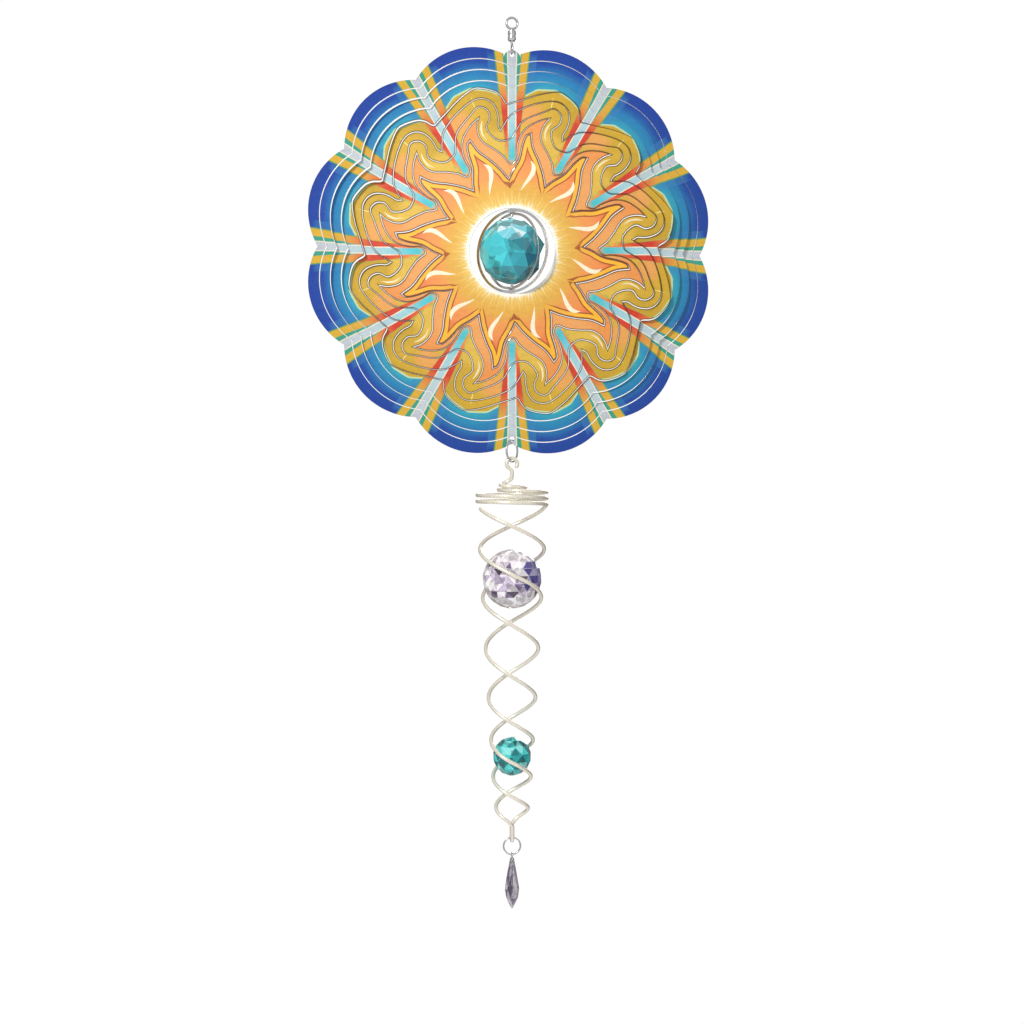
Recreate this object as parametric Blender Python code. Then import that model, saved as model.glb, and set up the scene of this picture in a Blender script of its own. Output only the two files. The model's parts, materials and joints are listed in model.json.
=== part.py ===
"""Hanging wind spinner: a fanned sheet-steel sun disc on a swivel, with a spiral wire tail.

Metres, +Z up, the disc faces -Y.  The origin is where a hook carries the swivel's eye.
The disc is drawn flat in its own plane (radius and angle, anticlockwise from +X) and each
ring of it is then turned about the vertical axis by its share of the fan.
"""
import math

import bmesh
import bpy
from mathutils import Matrix, Vector
from mathutils.geometry import delaunay_2d_cdt

MM = 0.001
INSIDE_WITHOUT_HOLES = 2        # triangulation that leaves the inner loops open

# ---- driving dimensions -------------------------------------------------------------------
LOBES = 12                      # lobes round the disc
SECTOR = math.radians(360 / LOBES)
SHEET = 0.8 * MM                # sheet thickness
CLEAR = 0.3 * MM                # gap kept between pieces that touch
SLOT = 0.6 * MM                 # width of the three plain slots
FINE_SLOT = 0.4 * MM            # width of the shaped slots
BRIDGE_HALF = 3.0 * MM          # half width of the bridges at top and bottom
BRIDGE_RUN = 0.4 * MM           # length over which a slot narrows into a bridge

DISC_RADIUS = 155.8 * MM        # at a lobe's middle
NOTCH_DEPTH = 10.6 * MM         # how far the notches between lobes reach in
RIM = (DISC_RADIUS, DISC_RADIUS - NOTCH_DEPTH)
DRAWN_RADIUS = 155.8 * MM       # disc radius that the slot pattern below is drawn for
PATTERN = MM * DISC_RADIUS / DRAWN_RADIUS

TAIL_RING_WIRE = 0.75 * MM
TAIL_HOLE = TAIL_RING_WIRE + 1.15 * MM     # radius of the hole that carries the tail
TAIL_HOLE_EDGE = 1.7 * MM       # metal left under the tail hole
TAIL_HOLE_ROOF = 1.1 * MM       # distance from the tail hole to the middle of the first slot
SWING_ROOM = 0.3 * MM           # more than the plain gap, for the tail ring to swing in

# plain slots: radius at a lobe's middle and at the notch beside it, in the drawing's mm;
# the first leaves its ring wide enough for the tail hole
TAIL_BAND = (TAIL_HOLE_EDGE + 2 * TAIL_HOLE + TAIL_HOLE_ROOF) / PATTERN
PLAIN_SLOTS = ((147.0, RIM[1] / PATTERN - TAIL_BAND), (138.8, 130.9), (130.6, 122.7))

# shaped slots of one sector: radius in the drawing's mm and degrees past the notch,
# "corner" is a sharp turn
BAY_SLOT = ((111.5, 0.0), (110.8, 2.2), (116.7, 4.0), (120.9, 6.4), (124.5, 11.0), (124.8, 14.0),
            (120.1, 19.6), (114.6, 25.5))
HOOK_SLOT = ((103.0, 0.0), (98.6, 2.2), (91.2, 5.3, "corner"), (95.2, 6.3), (100.4, 5.9), (106.5, 6.2),
             (112.5, 7.6), (116.5, 10.4), (117.1, 14.0), (113.7, 19.0), (108.4, 25.0))
CURL_SLOT = ((84.5, 0.9), (83.6, 6.5), (88.1, 10.0), (92.6, 11.4), (96.2, 11.5), (101.7, 9.4), (107.3, 9.8),
             (110.7, 11.7), (111.1, 14.0), (107.1, 17.0), (103.5, 20.3), (100.0, 23.6), (95.6, 26.4),
             (89.8, 28.3))
TONGUE_SLOT = ((65.2, 1.0), (71.8, 5.2), (78.3, 10.2), (84.0, 14.4), (90.0, 16.0), (97.6, 15.6),
               (103.6, 14.0, "corner"), (100.0, 17.9), (94.9, 22.0), (89.8, 24.8), (83.0, 26.6),
               (75.0, 27.2), (69.0, 27.0))
FLAME_SLOT = ((54.2, 2.5, "corner"), (62.0, 7.8), (70.8, 13.6), (79.7, 18.6), (89.6, 20.6, "corner"),
              (87.0, 23.0), (79.5, 24.4), (69.0, 25.6), (60.5, 29.5))
SLOT_STEPS = {"bay": 8, "hook": 14, "curl": 16, "tongue": 17, "flame": 12}

BALL_RADIUS = 25.0 * MM
BALL_GAP = 1.8 * MM             # between the ball and the innermost ring
INNER_RING_WIDTH = 2.0 * MM     # each of the two bare rings round the ball
INNER_SLOT = 0.8 * MM           # slot between them
INNERMOST = BALL_RADIUS + BALL_GAP
SUN_HOLE = INNERMOST + 2 * (INNER_SLOT + INNER_RING_WIDTH)
ROUND_STEPS = 48                # points round a plain circle

# each ring's turn about the vertical axis, from the rim inwards (degrees)
FAN = (0.0, -0.5, -2.5, -4.6, -7.2, -8.6, -10.0, -11.4, -13.0, -40.5, -55.5)
RING_NAMES = ("petal_ring_1", "petal_ring_2", "petal_ring_3", "petal_ring_4", "petal_ring_5",
              "petal_ring_6", "petal_ring_7", "petal_ring_8", "sun_plate", "inner_ring_1",
              "inner_ring_2")

TAB_HALF = 6.5 * MM             # half width of the hanging tab in the top notch
TAB_RISE = 6.0 * MM             # its top above the notch
TAB_HOLE = 1.8 * MM             # radius of its hanging hole
TAB_HOLE_EDGE = 1.6 * MM        # metal left above the hanging hole

BALL_PIN_RADIUS = 1.0 * MM
BALL_PIN_DEPTH = 4.0 * MM       # how far a pin reaches into the ball

LOOP_RADIUS = 3.2 * MM          # swivel's lower loop, through the tab
LOOP_WIRE = 0.7 * MM
PIN_STEM = 1.0 * MM             # radius of the stem between loop and barrel
PIN_STEM_LENGTH = 3.0 * MM      # stem seen between loop and barrel
PIN_HEAD = 2.0 * MM             # radius of the head held in the barrel
PIN_HEAD_HEIGHT = 1.4 * MM
BARREL_WALL = 0.9 * MM
BARREL_RADIUS = PIN_HEAD + CLEAR + BARREL_WALL
BARREL_HEIGHT = 8.0 * MM
BARREL_FLOOR = 1.4 * MM
EYE_RADIUS = 4.2 * MM           # swivel's hanging eye
EYE_WIRE = 0.9 * MM
EYE_SHANK = 1.6 * MM            # radius of the shank that plugs the barrel
EYE_SHANK_DEPTH = 3.0 * MM
EYE_NECK = 1.2 * MM             # shank seen above the barrel

TAIL_RING_RADIUS = 8.2 * MM     # ring between disc and tail
TAIL_RING_TURN = math.radians(52)
TAIL_WIRE = 1.45 * MM           # radius of the spiral's wire
TAIL_EYE = 4.0 * MM             # radius of the eye on top of the spiral
TAIL_STEM = 13.0 * MM           # stem from the eye to the first coil
EYE_OPEN = math.radians(58)     # how far the eye's cut end stays from the stem
SMALL_COIL = 10.1 * MM
LARGE_COIL = 26.6 * MM
SMALL_COIL_POINTS = 22          # points from the stem to the small coil's end
SMALL_COIL_STEPS = 12           # of them, those on the small coil itself
STRAND_STEPS = 60               # points along each strand of the double helix
COIL_GAP = 1.7 * MM             # air between neighbouring coils
COIL_PITCH = 2 * TAIL_WIRE + COIL_GAP
SMALL_COIL_FALL = 0.62          # share of the coils' pitch that the small coil falls by
LARGE_TURNS = 2.0
HELIX_TURNS = 3.75
HELIX_SLACK = 0.75              # share of its mean pitch angle that the helix has at the top
HELIX_LEAD = 0.085              # turns that its upper half is ahead and its lower half behind
HELIX_LENGTH = 242.5 * MM
HELIX_END = 12.0 * MM           # helix radius just above where it closes
HELIX_CLOSING = 0.075           # share of its length over which it closes
HELIX_CLEAR_START = 0.014       # where the second strand ends, clear of the lowest coil
JUMP_RADIUS = 6.4 * MM
JUMP_WIRE = 0.65 * MM
HAIRPIN = TAIL_WIRE + JUMP_WIRE + CLEAR + 0.2 * MM   # radius of the bend that closes the spiral
HAIRPIN_LENGTH = 8.0 * MM       # straight run above that bend
CLEAR_BALL = 22.3 * MM
TEAL_BALL = 14.5 * MM
CLEAR_BALL_DROP = 56.0 * MM     # centre below the last coil
TEAL_BALL_RISE = 53.0 * MM      # centre above the spiral's closed end
TEAL_BALL_DROP = HELIX_LENGTH - TEAL_BALL_RISE

LINK_RADIUS = 2.9 * MM          # small link that the drop hangs from
LINK_WIRE = 0.45 * MM
DROP_LENGTH = 39.0 * MM
DROP_RADIUS = 5.5 * MM
DROP_NECK = 1.4 * MM            # radius of the drilled neck on top of the drop
DROP_HOLE = 1.05 * MM
DROP_HOLE_EDGE = 1.0 * MM       # glass above the drilled hole


# ---- heights, from the hook down ----------------------------------------------------------
def heights():
    """Heights of everything on the vertical axis, worked out from the hook downwards."""
    z = {}
    z["eye"] = -(EYE_RADIUS - EYE_WIRE)
    z["barrel_top"] = z["eye"] - EYE_RADIUS - EYE_NECK
    z["barrel_bottom"] = z["barrel_top"] - BARREL_HEIGHT
    z["loop"] = z["barrel_bottom"] - PIN_STEM_LENGTH - LOOP_RADIUS
    tab_hole_top = z["loop"] - LOOP_RADIUS + LOOP_WIRE + CLEAR
    z["tab_hole"] = tab_hole_top - TAB_HOLE
    z["disc"] = tab_hole_top + TAB_HOLE_EDGE - RIM[1] - TAB_RISE
    z["tail_hole"] = z["disc"] - RIM[1] + TAIL_HOLE_EDGE + TAIL_HOLE
    z["ring_top"] = z["tail_hole"] - TAIL_HOLE + CLEAR + SWING_ROOM + TAIL_RING_WIRE
    z["tail_ring"] = z["ring_top"] - TAIL_RING_RADIUS
    z["eye_top"] = z["tail_ring"] - TAIL_RING_RADIUS + TAIL_RING_WIRE + TAIL_WIRE + CLEAR
    z["tail_eye"] = z["eye_top"] - TAIL_EYE
    z["small_coil"] = z["tail_eye"] - TAIL_EYE - TAIL_STEM
    z["large_coil"] = z["small_coil"] - COIL_PITCH
    z["helix_top"] = z["large_coil"] - COIL_PITCH * LARGE_TURNS
    z["helix_end"] = z["helix_top"] - HELIX_LENGTH
    z["hairpin"] = z["helix_end"] - HAIRPIN_LENGTH
    hairpin_inner = z["hairpin"] - HAIRPIN + TAIL_WIRE
    z["jump_top"] = hairpin_inner + CLEAR + JUMP_WIRE
    z["jump"] = z["jump_top"] - JUMP_RADIUS
    z["link"] = z["jump"] - JUMP_RADIUS + JUMP_WIRE + LINK_WIRE + CLEAR - LINK_RADIUS
    link_rise = LINK_RADIUS - math.sqrt(LINK_RADIUS ** 2 - DROP_NECK ** 2)
    z["drop_hole"] = z["link"] - LINK_RADIUS + LINK_WIRE + CLEAR + link_rise - DROP_HOLE
    z["drop_top"] = z["drop_hole"] + DROP_HOLE + DROP_HOLE_EDGE
    return z


# ---- outlines in the disc's own plane -----------------------------------------------------
def polar(radius, angle):
    """Point of the disc's plane at a radius and an angle from +X."""
    return Vector((radius * math.cos(angle), radius * math.sin(angle)))


def lobed_outline(axis_radius, notch_radius, steps=6):
    """Twelve round lobes: a circular arc for each sector, through its notches and its middle."""
    half = SECTOR / 2
    centre = (axis_radius ** 2 - notch_radius ** 2) / (2 * (axis_radius - notch_radius * math.cos(half)))
    arc = axis_radius - centre
    sweep = math.atan2(notch_radius * math.sin(half), notch_radius * math.cos(half) - centre)
    points = []
    for lobe in range(LOBES):
        middle = lobe * SECTOR + half
        for step in range(steps):
            turn = sweep * (2 * step / steps - 1)
            points.append(polar(centre, middle) + polar(arc, middle + turn))
    return points


def circle_outline(radius, steps=ROUND_STEPS):
    """Plain circle in the disc's plane."""
    return [polar(radius, math.tau * step / steps) for step in range(steps)]


def smooth_run(points, steps):
    """Points along an open Catmull-Rom curve, evenly shared between its control points."""
    ends = [2 * points[0] - points[1]] + points + [2 * points[-1] - points[-2]]
    spans = len(points) - 1
    run = []
    for step in range(steps):
        place = spans * step / steps
        index = min(int(place), spans - 1)
        t = place - index
        a, b, c, d = ends[index:index + 4]
        run.append(0.5 * (2 * b + (c - a) * t + (2 * a - 5 * b + 4 * c - d) * t ** 2
                          + (3 * b - a - 3 * c + d) * t ** 3))
    return run


def shaped_outline(controls, steps):
    """Closed slot line: one sector's control points repeated round, smooth between corners."""
    points = []
    corners = []
    for sector in range(LOBES):
        for control in controls:
            angle = sector * SECTOR + math.radians(control[1])
            corners.append(len(control) > 2)
            points.append(polar(control[0] * PATTERN, angle))
    count = len(points)
    breaks = [index for index in range(count) if corners[index]]
    if not breaks:
        return smooth_loop(points, steps * LOBES)
    outline = []
    for here, following in zip(breaks, breaks[1:] + [breaks[0] + count]):
        span = [points[index % count] for index in range(here, following + 1)]
        share = max(2, round(steps * (following - here) / len(controls)))
        outline += smooth_run(span, share)
    return outline


def smooth_loop(points, steps):
    """Points along a closed Catmull-Rom curve."""
    count = len(points)
    loop = []
    for step in range(steps):
        place = count * step / steps
        index = int(place)
        t = place - index
        a, b, c, d = (points[(index + offset) % count] for offset in (-1, 0, 1, 2))
        loop.append(0.5 * (2 * b + (c - a) * t + (2 * a - 5 * b + 4 * c - d) * t ** 2
                           + (3 * b - a - 3 * c + d) * t ** 3))
    return loop


def with_bridge_points(outline):
    """The same closed line with points added where the slot narrows into each bridge."""
    marks = sorted((side * (BRIDGE_HALF + run) for side in (-1, 1) for run in (0, BRIDGE_RUN)))
    line = []
    for start, end in zip(outline, outline[1:] + outline[:1]):
        line.append(start)
        cuts = []
        for mark in marks:
            if (start.x - mark) * (end.x - mark) < 0:
                cuts.append((mark - start.x) / (end.x - start.x))
        line += [start.lerp(end, cut) for cut in sorted(cuts) if 0.04 < cut < 0.96]
    return line


def offset_outline(outline, wide, narrow):
    """Closed line moved sideways (outwards if positive), by less at the two bridges."""
    moved = []
    count = len(outline)
    for index, point in enumerate(outline):
        before = (point - outline[index - 1]).normalized()
        after = (outline[(index + 1) % count] - point).normalized()
        normal = Vector((before.y, -before.x)) + Vector((after.y, -after.x))
        mitre = min(2.5, 2 / max(normal.length, 0.5))
        amount = narrow if abs(point.x) < BRIDGE_HALF + BRIDGE_RUN / 2 else wide
        moved.append(point + normal.normalized() * amount * mitre)
    return moved


def slot_edges(outline, width):
    """Outer and inner edge of a slot cut along a closed line."""
    line = with_bridge_points(outline)
    outer = offset_outline(line, width / 2, CLEAR / 2)
    inner = offset_outline(line, -width / 2, -CLEAR / 2)
    return outer, inner


# ---- meshes -------------------------------------------------------------------------------
def material(name, colour, metallic, roughness):
    """Principled material with one colour."""
    made = bpy.data.materials.new(name)
    made.use_nodes = True
    shader = made.node_tree.nodes["Principled BSDF"]
    shader.inputs["Base Color"].default_value = (*colour, 1.0)
    shader.inputs["Metallic"].default_value = metallic
    shader.inputs["Roughness"].default_value = roughness
    return made


def add_object(name, mesh, surface, location=(0, 0, 0), turn=0.0):
    """Link a mesh as a named object with its material, turned about the vertical axis."""
    thing = bpy.data.objects.new(name, mesh)
    bpy.context.scene.collection.objects.link(thing)
    mesh.materials.append(surface)
    thing.location = location
    thing.rotation_euler = (0, 0, turn)
    return thing


def mesh_from(bm, name):
    """Finish a bmesh: normals out, doubles kept."""
    bmesh.ops.recalc_face_normals(bm, faces=bm.faces)
    mesh = bpy.data.meshes.new(name)
    bm.to_mesh(mesh)
    bm.free()
    return mesh


def sheet_mesh(name, loops):
    """Flat sheet in the XZ plane bounded by closed loops, the first one outermost."""
    flat = []
    bounds = []
    for loop in loops:
        bounds.append(list(range(len(flat), len(flat) + len(loop))))
        flat += loop
    verts, _, faces, _, _, _ = delaunay_2d_cdt(flat, [], bounds, INSIDE_WITHOUT_HOLES, 1e-9)
    bm = bmesh.new()
    front = [bm.verts.new((v.x, -SHEET / 2, v.y)) for v in verts]
    back = [bm.verts.new((v.x, SHEET / 2, v.y)) for v in verts]
    for face in faces:
        bm.faces.new([front[i] for i in face])
        bm.faces.new([back[i] for i in reversed(face)])
    rim = [edge for edge in bm.edges if len(edge.link_faces) == 1 and edge.verts[0].co.y < 0]
    order = {vert: index for index, vert in enumerate(front)}
    for edge in rim:
        a, b = (order[vert] for vert in edge.verts)
        bm.faces.new([front[a], front[b], back[b], back[a]])
    bmesh.ops.delete(bm, geom=[vert for vert in bm.verts if not vert.link_faces], context="VERTS")
    return mesh_from(bm, name)


def turned_mesh(name, profile, steps, smooth=True):
    """Solid of revolution about Z from (radius, height) points, closed at both ends or hollow."""
    bm = bmesh.new()
    rings = []
    for radius, height in profile:
        if radius < 1e-7:
            rings.append([bm.verts.new((0, 0, height))])
        else:
            turns = [math.tau * step / steps for step in range(steps)]
            rings.append([bm.verts.new((radius * math.cos(a), radius * math.sin(a), height)) for a in turns])
    closed = profile[0][0] > 1e-7
    pairs = list(zip(rings, rings[1:]))
    if closed:
        pairs.append((rings[-1], rings[0]))
    for low, high in pairs:
        for i in range(steps):
            j = (i + 1) % steps
            corners = [low[i % len(low)], low[j % len(low)], high[j % len(high)], high[i % len(high)]]
            unique = list(dict.fromkeys(corners))
            if len(unique) > 2:
                bm.faces.new(unique)
    mesh = mesh_from(bm, name)
    if smooth:
        mesh.shade_smooth()
        mesh.set_sharp_from_angle(angle=math.radians(40))
    return mesh


def wire_mesh(name, points, radius, sides=6, cyclic=False, ends=(None, None)):
    """Round wire along a line of points, its section carried along without twist.

    ends gives the directions that the end faces look along, where a longer wire is parted.
    """
    bm = bmesh.new()
    count = len(points)
    start = points[1] - points[0]
    normal = min((Vector((1, 0, 0)), Vector((0, 1, 0))), key=lambda axis: abs(axis.dot(start)))
    rings = []
    for index, point in enumerate(points):
        if cyclic:
            along = points[(index + 1) % count] - points[index - 1]
        else:
            along = points[min(index + 1, count - 1)] - points[max(index - 1, 0)]
        if index == 0 and ends[0]:
            along = ends[0].copy()
        if index == count - 1 and ends[1]:
            along = ends[1].copy()
        along.normalize()
        normal = (normal - along * normal.dot(along)).normalized()
        across = along.cross(normal)
        turns = [math.tau * side / sides for side in range(sides)]
        rings.append([bm.verts.new(point + radius * (normal * math.cos(a) + across * math.sin(a)))
                      for a in turns])
    pairs = list(zip(rings, rings[1:]))
    if cyclic:
        pairs.append((rings[-1], rings[0]))
    for low, high in pairs:
        for i in range(sides):
            j = (i + 1) % sides
            bm.faces.new([low[i], low[j], high[j], high[i]])
    if not cyclic:
        bm.faces.new(rings[0])
        bm.faces.new(list(reversed(rings[-1])))
    mesh = mesh_from(bm, name)
    mesh.shade_smooth()
    return mesh


def ring_points(radius, centre_z, turn, steps):
    """Circle in a vertical plane through the Z axis, turned about it (0 = across, in XZ)."""
    points = []
    for step in range(steps):
        a = math.tau * step / steps
        side = radius * math.sin(a)
        points.append(Vector((side * math.cos(turn), side * math.sin(turn), centre_z + radius * math.cos(a))))
    return points


# ---- the disc -----------------------------------------------------------------------------
def rim_outline():
    """The disc's edge, with the rounded hanging tab let into the top notch."""
    top = math.radians(90)
    tab_centre = RIM[1] + TAB_RISE - TAB_HALF
    edge = [point for point in lobed_outline(*RIM, steps=6)
            if not (point.y > 0 and abs(point.x) < TAB_HALF + 1 * MM)]
    lobe = lobed_outline(*RIM, steps=60)
    root = max(point.y for point in lobe if point.y > 0 and abs(point.x - TAB_HALF) < 1.0 * MM)
    tab = [Vector((TAB_HALF, root))]
    for step in range(9):
        tab.append(Vector((0, tab_centre)) + polar(TAB_HALF, math.pi * step / 8))
    tab.append(Vector((-TAB_HALF, root)))
    split = next(i for i, point in enumerate(edge) if math.atan2(point.y, point.x) > top)
    return edge[:split] + tab + edge[split:]


def slot_lines():
    """Centre line and width of every closed slot, from the rim inwards."""
    lines = [(lobed_outline(axis * PATTERN, notch * PATTERN), SLOT) for axis, notch in PLAIN_SLOTS]
    shaped = (("bay", BAY_SLOT), ("hook", HOOK_SLOT), ("curl", CURL_SLOT), ("tongue", TONGUE_SLOT),
              ("flame", FLAME_SLOT))
    lines += [(shaped_outline(controls, SLOT_STEPS[kind]), FINE_SLOT) for kind, controls in shaped]
    hole = SUN_HOLE - INNER_SLOT / 2
    lines.append((circle_outline(hole), INNER_SLOT))
    lines.append((circle_outline(hole - INNER_SLOT - INNER_RING_WIDTH), INNER_SLOT))
    return lines


def pin_notched_circle(radius):
    """Innermost edge: a circle with a small square notch at top and bottom for the ball's pins."""
    half = BALL_PIN_RADIUS + CLEAR
    deep = radius + INNER_RING_WIDTH / 2
    outline = [point for point in circle_outline(radius) if abs(point.x) > half * 1.5]
    shaped = []
    for start, end in zip(outline, outline[1:] + outline[:1]):
        shaped.append(start)
        if start.x * end.x < 0:
            side = 1 if start.y > 0 else -1
            inner = math.sqrt(radius ** 2 - half ** 2)
            shaped += [Vector((side * half, side * inner)), Vector((side * half, side * deep)),
                       Vector((-side * half, side * deep)), Vector((-side * half, side * inner))]
    return shaped


def hole_outline(z, radius, steps=12):
    """Round hole on the vertical axis of the disc's plane."""
    return [Vector((0, z)) + polar(radius, math.tau * step / steps) for step in range(steps)]


def make_disc(z, surfaces):
    """All the nested rings of the sheet, each turned by its share of the fan."""
    outers = [rim_outline()]
    inners = []
    for line, width in slot_lines():
        outer, inner = slot_edges(line, width)
        inners.append(outer)
        outers.append(inner)
    inners.append(pin_notched_circle(INNERMOST))
    holes = [hole_outline(z["tab_hole"] - z["disc"], TAB_HOLE),
             hole_outline(z["tail_hole"] - z["disc"], TAIL_HOLE)]
    for index, name in enumerate(RING_NAMES):
        loops = [outers[index], inners[index]]
        if index == 0:
            loops += holes
        mesh = sheet_mesh(name, loops)
        add_object(name, mesh, surfaces[index], (0, 0, z["disc"]), math.radians(FAN[index]))


# ---- hanger -------------------------------------------------------------------------------
def make_hanger(z, steel):
    """Swivel: eye with its shank, barrel, and the pin with its lower loop."""
    eye = ring_points(EYE_RADIUS, z["eye"], 0, 20)
    bm = bmesh.new()
    bm.from_mesh(wire_mesh("eye_wire", eye, EYE_WIRE, 8, True))
    top = z["eye"] - EYE_RADIUS + EYE_WIRE / 2
    shank = turned_mesh("shank", [(0, z["barrel_top"] - EYE_SHANK_DEPTH),
                                  (EYE_SHANK, z["barrel_top"] - EYE_SHANK_DEPTH), (EYE_SHANK, top - EYE_WIRE),
                                  (EYE_WIRE, top), (0, top)], 12)
    union(add_object("swivel_eye", mesh_from(bm, "swivel_eye"), steel), shank)

    bore = EYE_SHANK + CLEAR
    floor_top = z["barrel_bottom"] + BARREL_FLOOR
    hole = PIN_STEM + CLEAR
    chamber = PIN_HEAD + CLEAR
    chamber_top = z["barrel_top"] - EYE_SHANK_DEPTH - CLEAR
    edge = 0.8 * MM
    barrel = [(BARREL_RADIUS - edge, z["barrel_top"]), (BARREL_RADIUS, z["barrel_top"] - edge),
              (BARREL_RADIUS, z["barrel_bottom"] + edge), (BARREL_RADIUS - edge, z["barrel_bottom"]),
              (hole, z["barrel_bottom"]), (hole, floor_top), (chamber, floor_top), (chamber, chamber_top),
              (bore, chamber_top), (bore, z["barrel_top"])]
    add_object("swivel_barrel", turned_mesh("swivel_barrel", barrel, 16), steel)

    loop_top = z["loop"] + LOOP_RADIUS - LOOP_WIRE / 2
    head_bottom = floor_top + CLEAR
    pin = turned_mesh("pin_stem", [(0, loop_top), (LOOP_WIRE, loop_top), (PIN_STEM, loop_top + LOOP_WIRE),
                                   (PIN_STEM, head_bottom), (PIN_HEAD, head_bottom),
                                   (PIN_HEAD, head_bottom + PIN_HEAD_HEIGHT),
                                   (0, head_bottom + PIN_HEAD_HEIGHT)], 12)
    loop = wire_mesh("pin_loop", ring_points(LOOP_RADIUS, z["loop"], math.pi / 2, 18), LOOP_WIRE, 8, True)
    union(add_object("swivel_pin", loop, steel), pin)


def union(base, extra_mesh):
    """Join a second closed mesh to an object with an exact Boolean, kept as a modifier."""
    cutter = bpy.data.objects.new(base.name + "_join", extra_mesh)
    bpy.context.scene.collection.objects.link(cutter)
    cutter.hide_render = True
    cutter.display_type = "WIRE"
    join = base.modifiers.new("Join", "BOOLEAN")
    join.operation = "UNION"
    join.object = cutter
    join.solver = "EXACT"


# ---- centre ball --------------------------------------------------------------------------
def ball_profile(radius, bands, flat, hole, depth):
    """Faceted ball from pole flat to pole flat, with a blind hole in each pole."""
    low = math.asin(flat / radius)
    profile = [(0, -radius * math.cos(low) + depth), (hole, -radius * math.cos(low) + depth)]
    if depth <= 0:
        profile = [(0, -radius * math.cos(low))]
    else:
        profile.append((hole, -radius * math.cos(low)))
    for band in range(bands + 1):
        angle = low + (math.pi - 2 * low) * band / bands
        profile.append((radius * math.sin(angle), -radius * math.cos(angle)))
    if depth <= 0:
        return profile + [(0, radius * math.cos(low))]
    return profile + [(hole, radius * math.cos(low)), (hole, radius * math.cos(low) - depth),
                      (0, radius * math.cos(low) - depth)]


def make_centre_ball(z, glass, steel):
    """Ball and its two pins, which sit in notches of the innermost ring."""
    flat = 3.5 * MM
    hole = BALL_PIN_RADIUS + CLEAR
    profile = ball_profile(BALL_RADIUS, 7, flat, hole, BALL_PIN_DEPTH)
    mesh = turned_mesh("centre_ball", profile, 12, smooth=False)
    add_object("centre_ball", mesh, glass, (0, 0, z["disc"]), math.radians(FAN[-1]))
    pole = math.sqrt(BALL_RADIUS ** 2 - flat ** 2)
    outer = INNERMOST + INNER_RING_WIDTH / 2 - CLEAR
    inner = pole - BALL_PIN_DEPTH + CLEAR
    for name, side in (("ball_pin_top", 1), ("ball_pin_bottom", -1)):
        low, high = sorted((side * inner, side * outer))
        pin = turned_mesh(name, [(0, low), (BALL_PIN_RADIUS, low), (BALL_PIN_RADIUS, high), (0, high)], 10)
        add_object(name, pin, steel, (0, 0, z["disc"]), math.radians(FAN[-1]))


# ---- tail ---------------------------------------------------------------------------------
def caught_radius(drop, ball_radius, ball_drop):
    """Radius that a strand needs at this height to pass round a caught ball."""
    height = drop - ball_drop
    if abs(height) >= ball_radius:
        return 0.0
    return math.sqrt(ball_radius ** 2 - height ** 2) + TAIL_WIRE + CLEAR * 1.5


def helix_radius(share):
    """Radius of the double helix, from its top (0) to its bottom (1)."""
    body = LARGE_COIL + (HELIX_END - LARGE_COIL) * share
    closing = min(1.0, (1 - share) / HELIX_CLOSING)
    body = HAIRPIN + (body - HAIRPIN) * math.sin(closing * math.pi / 2)
    drop = share * HELIX_LENGTH
    return max(body, caught_radius(drop, CLEAR_BALL, CLEAR_BALL_DROP),
               caught_radius(drop, TEAL_BALL, TEAL_BALL_DROP))


def helix_leg(z, start_angle, first_share, steps):
    """One strand of the double helix from the coils down to the closing bend."""
    points = []
    for step in range(steps + 1):
        share = first_share + (1 - first_share) * step / steps
        turned = HELIX_SLACK * share + (1 - HELIX_SLACK) * share ** 2
        lead = HELIX_LEAD * math.sin(math.tau * share)
        angle = start_angle + math.tau * (HELIX_TURNS * turned + lead)
        radius = helix_radius(share)
        points.append(Vector((radius * math.cos(angle), radius * math.sin(angle),
                              z["helix_top"] - HELIX_LENGTH * share)))
    return points


def eye_and_stem(z):
    """The wire's upper end: an eye in the XZ plane, then straight down the axis."""
    points = []
    last = math.radians(312)
    for step in range(12):
        a = EYE_OPEN + (last - EYE_OPEN) * step / 11
        points.append(Vector((TAIL_EYE * math.sin(a), 0, z["tail_eye"] - TAIL_EYE * math.cos(a))))
    bottom = z["tail_eye"] - TAIL_EYE
    points.append(Vector((-0.2 * TAIL_EYE, 0, bottom - 0.1 * TAIL_EYE)))
    points.append(Vector((0, 0, bottom - 0.6 * TAIL_EYE)))
    return points


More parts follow.
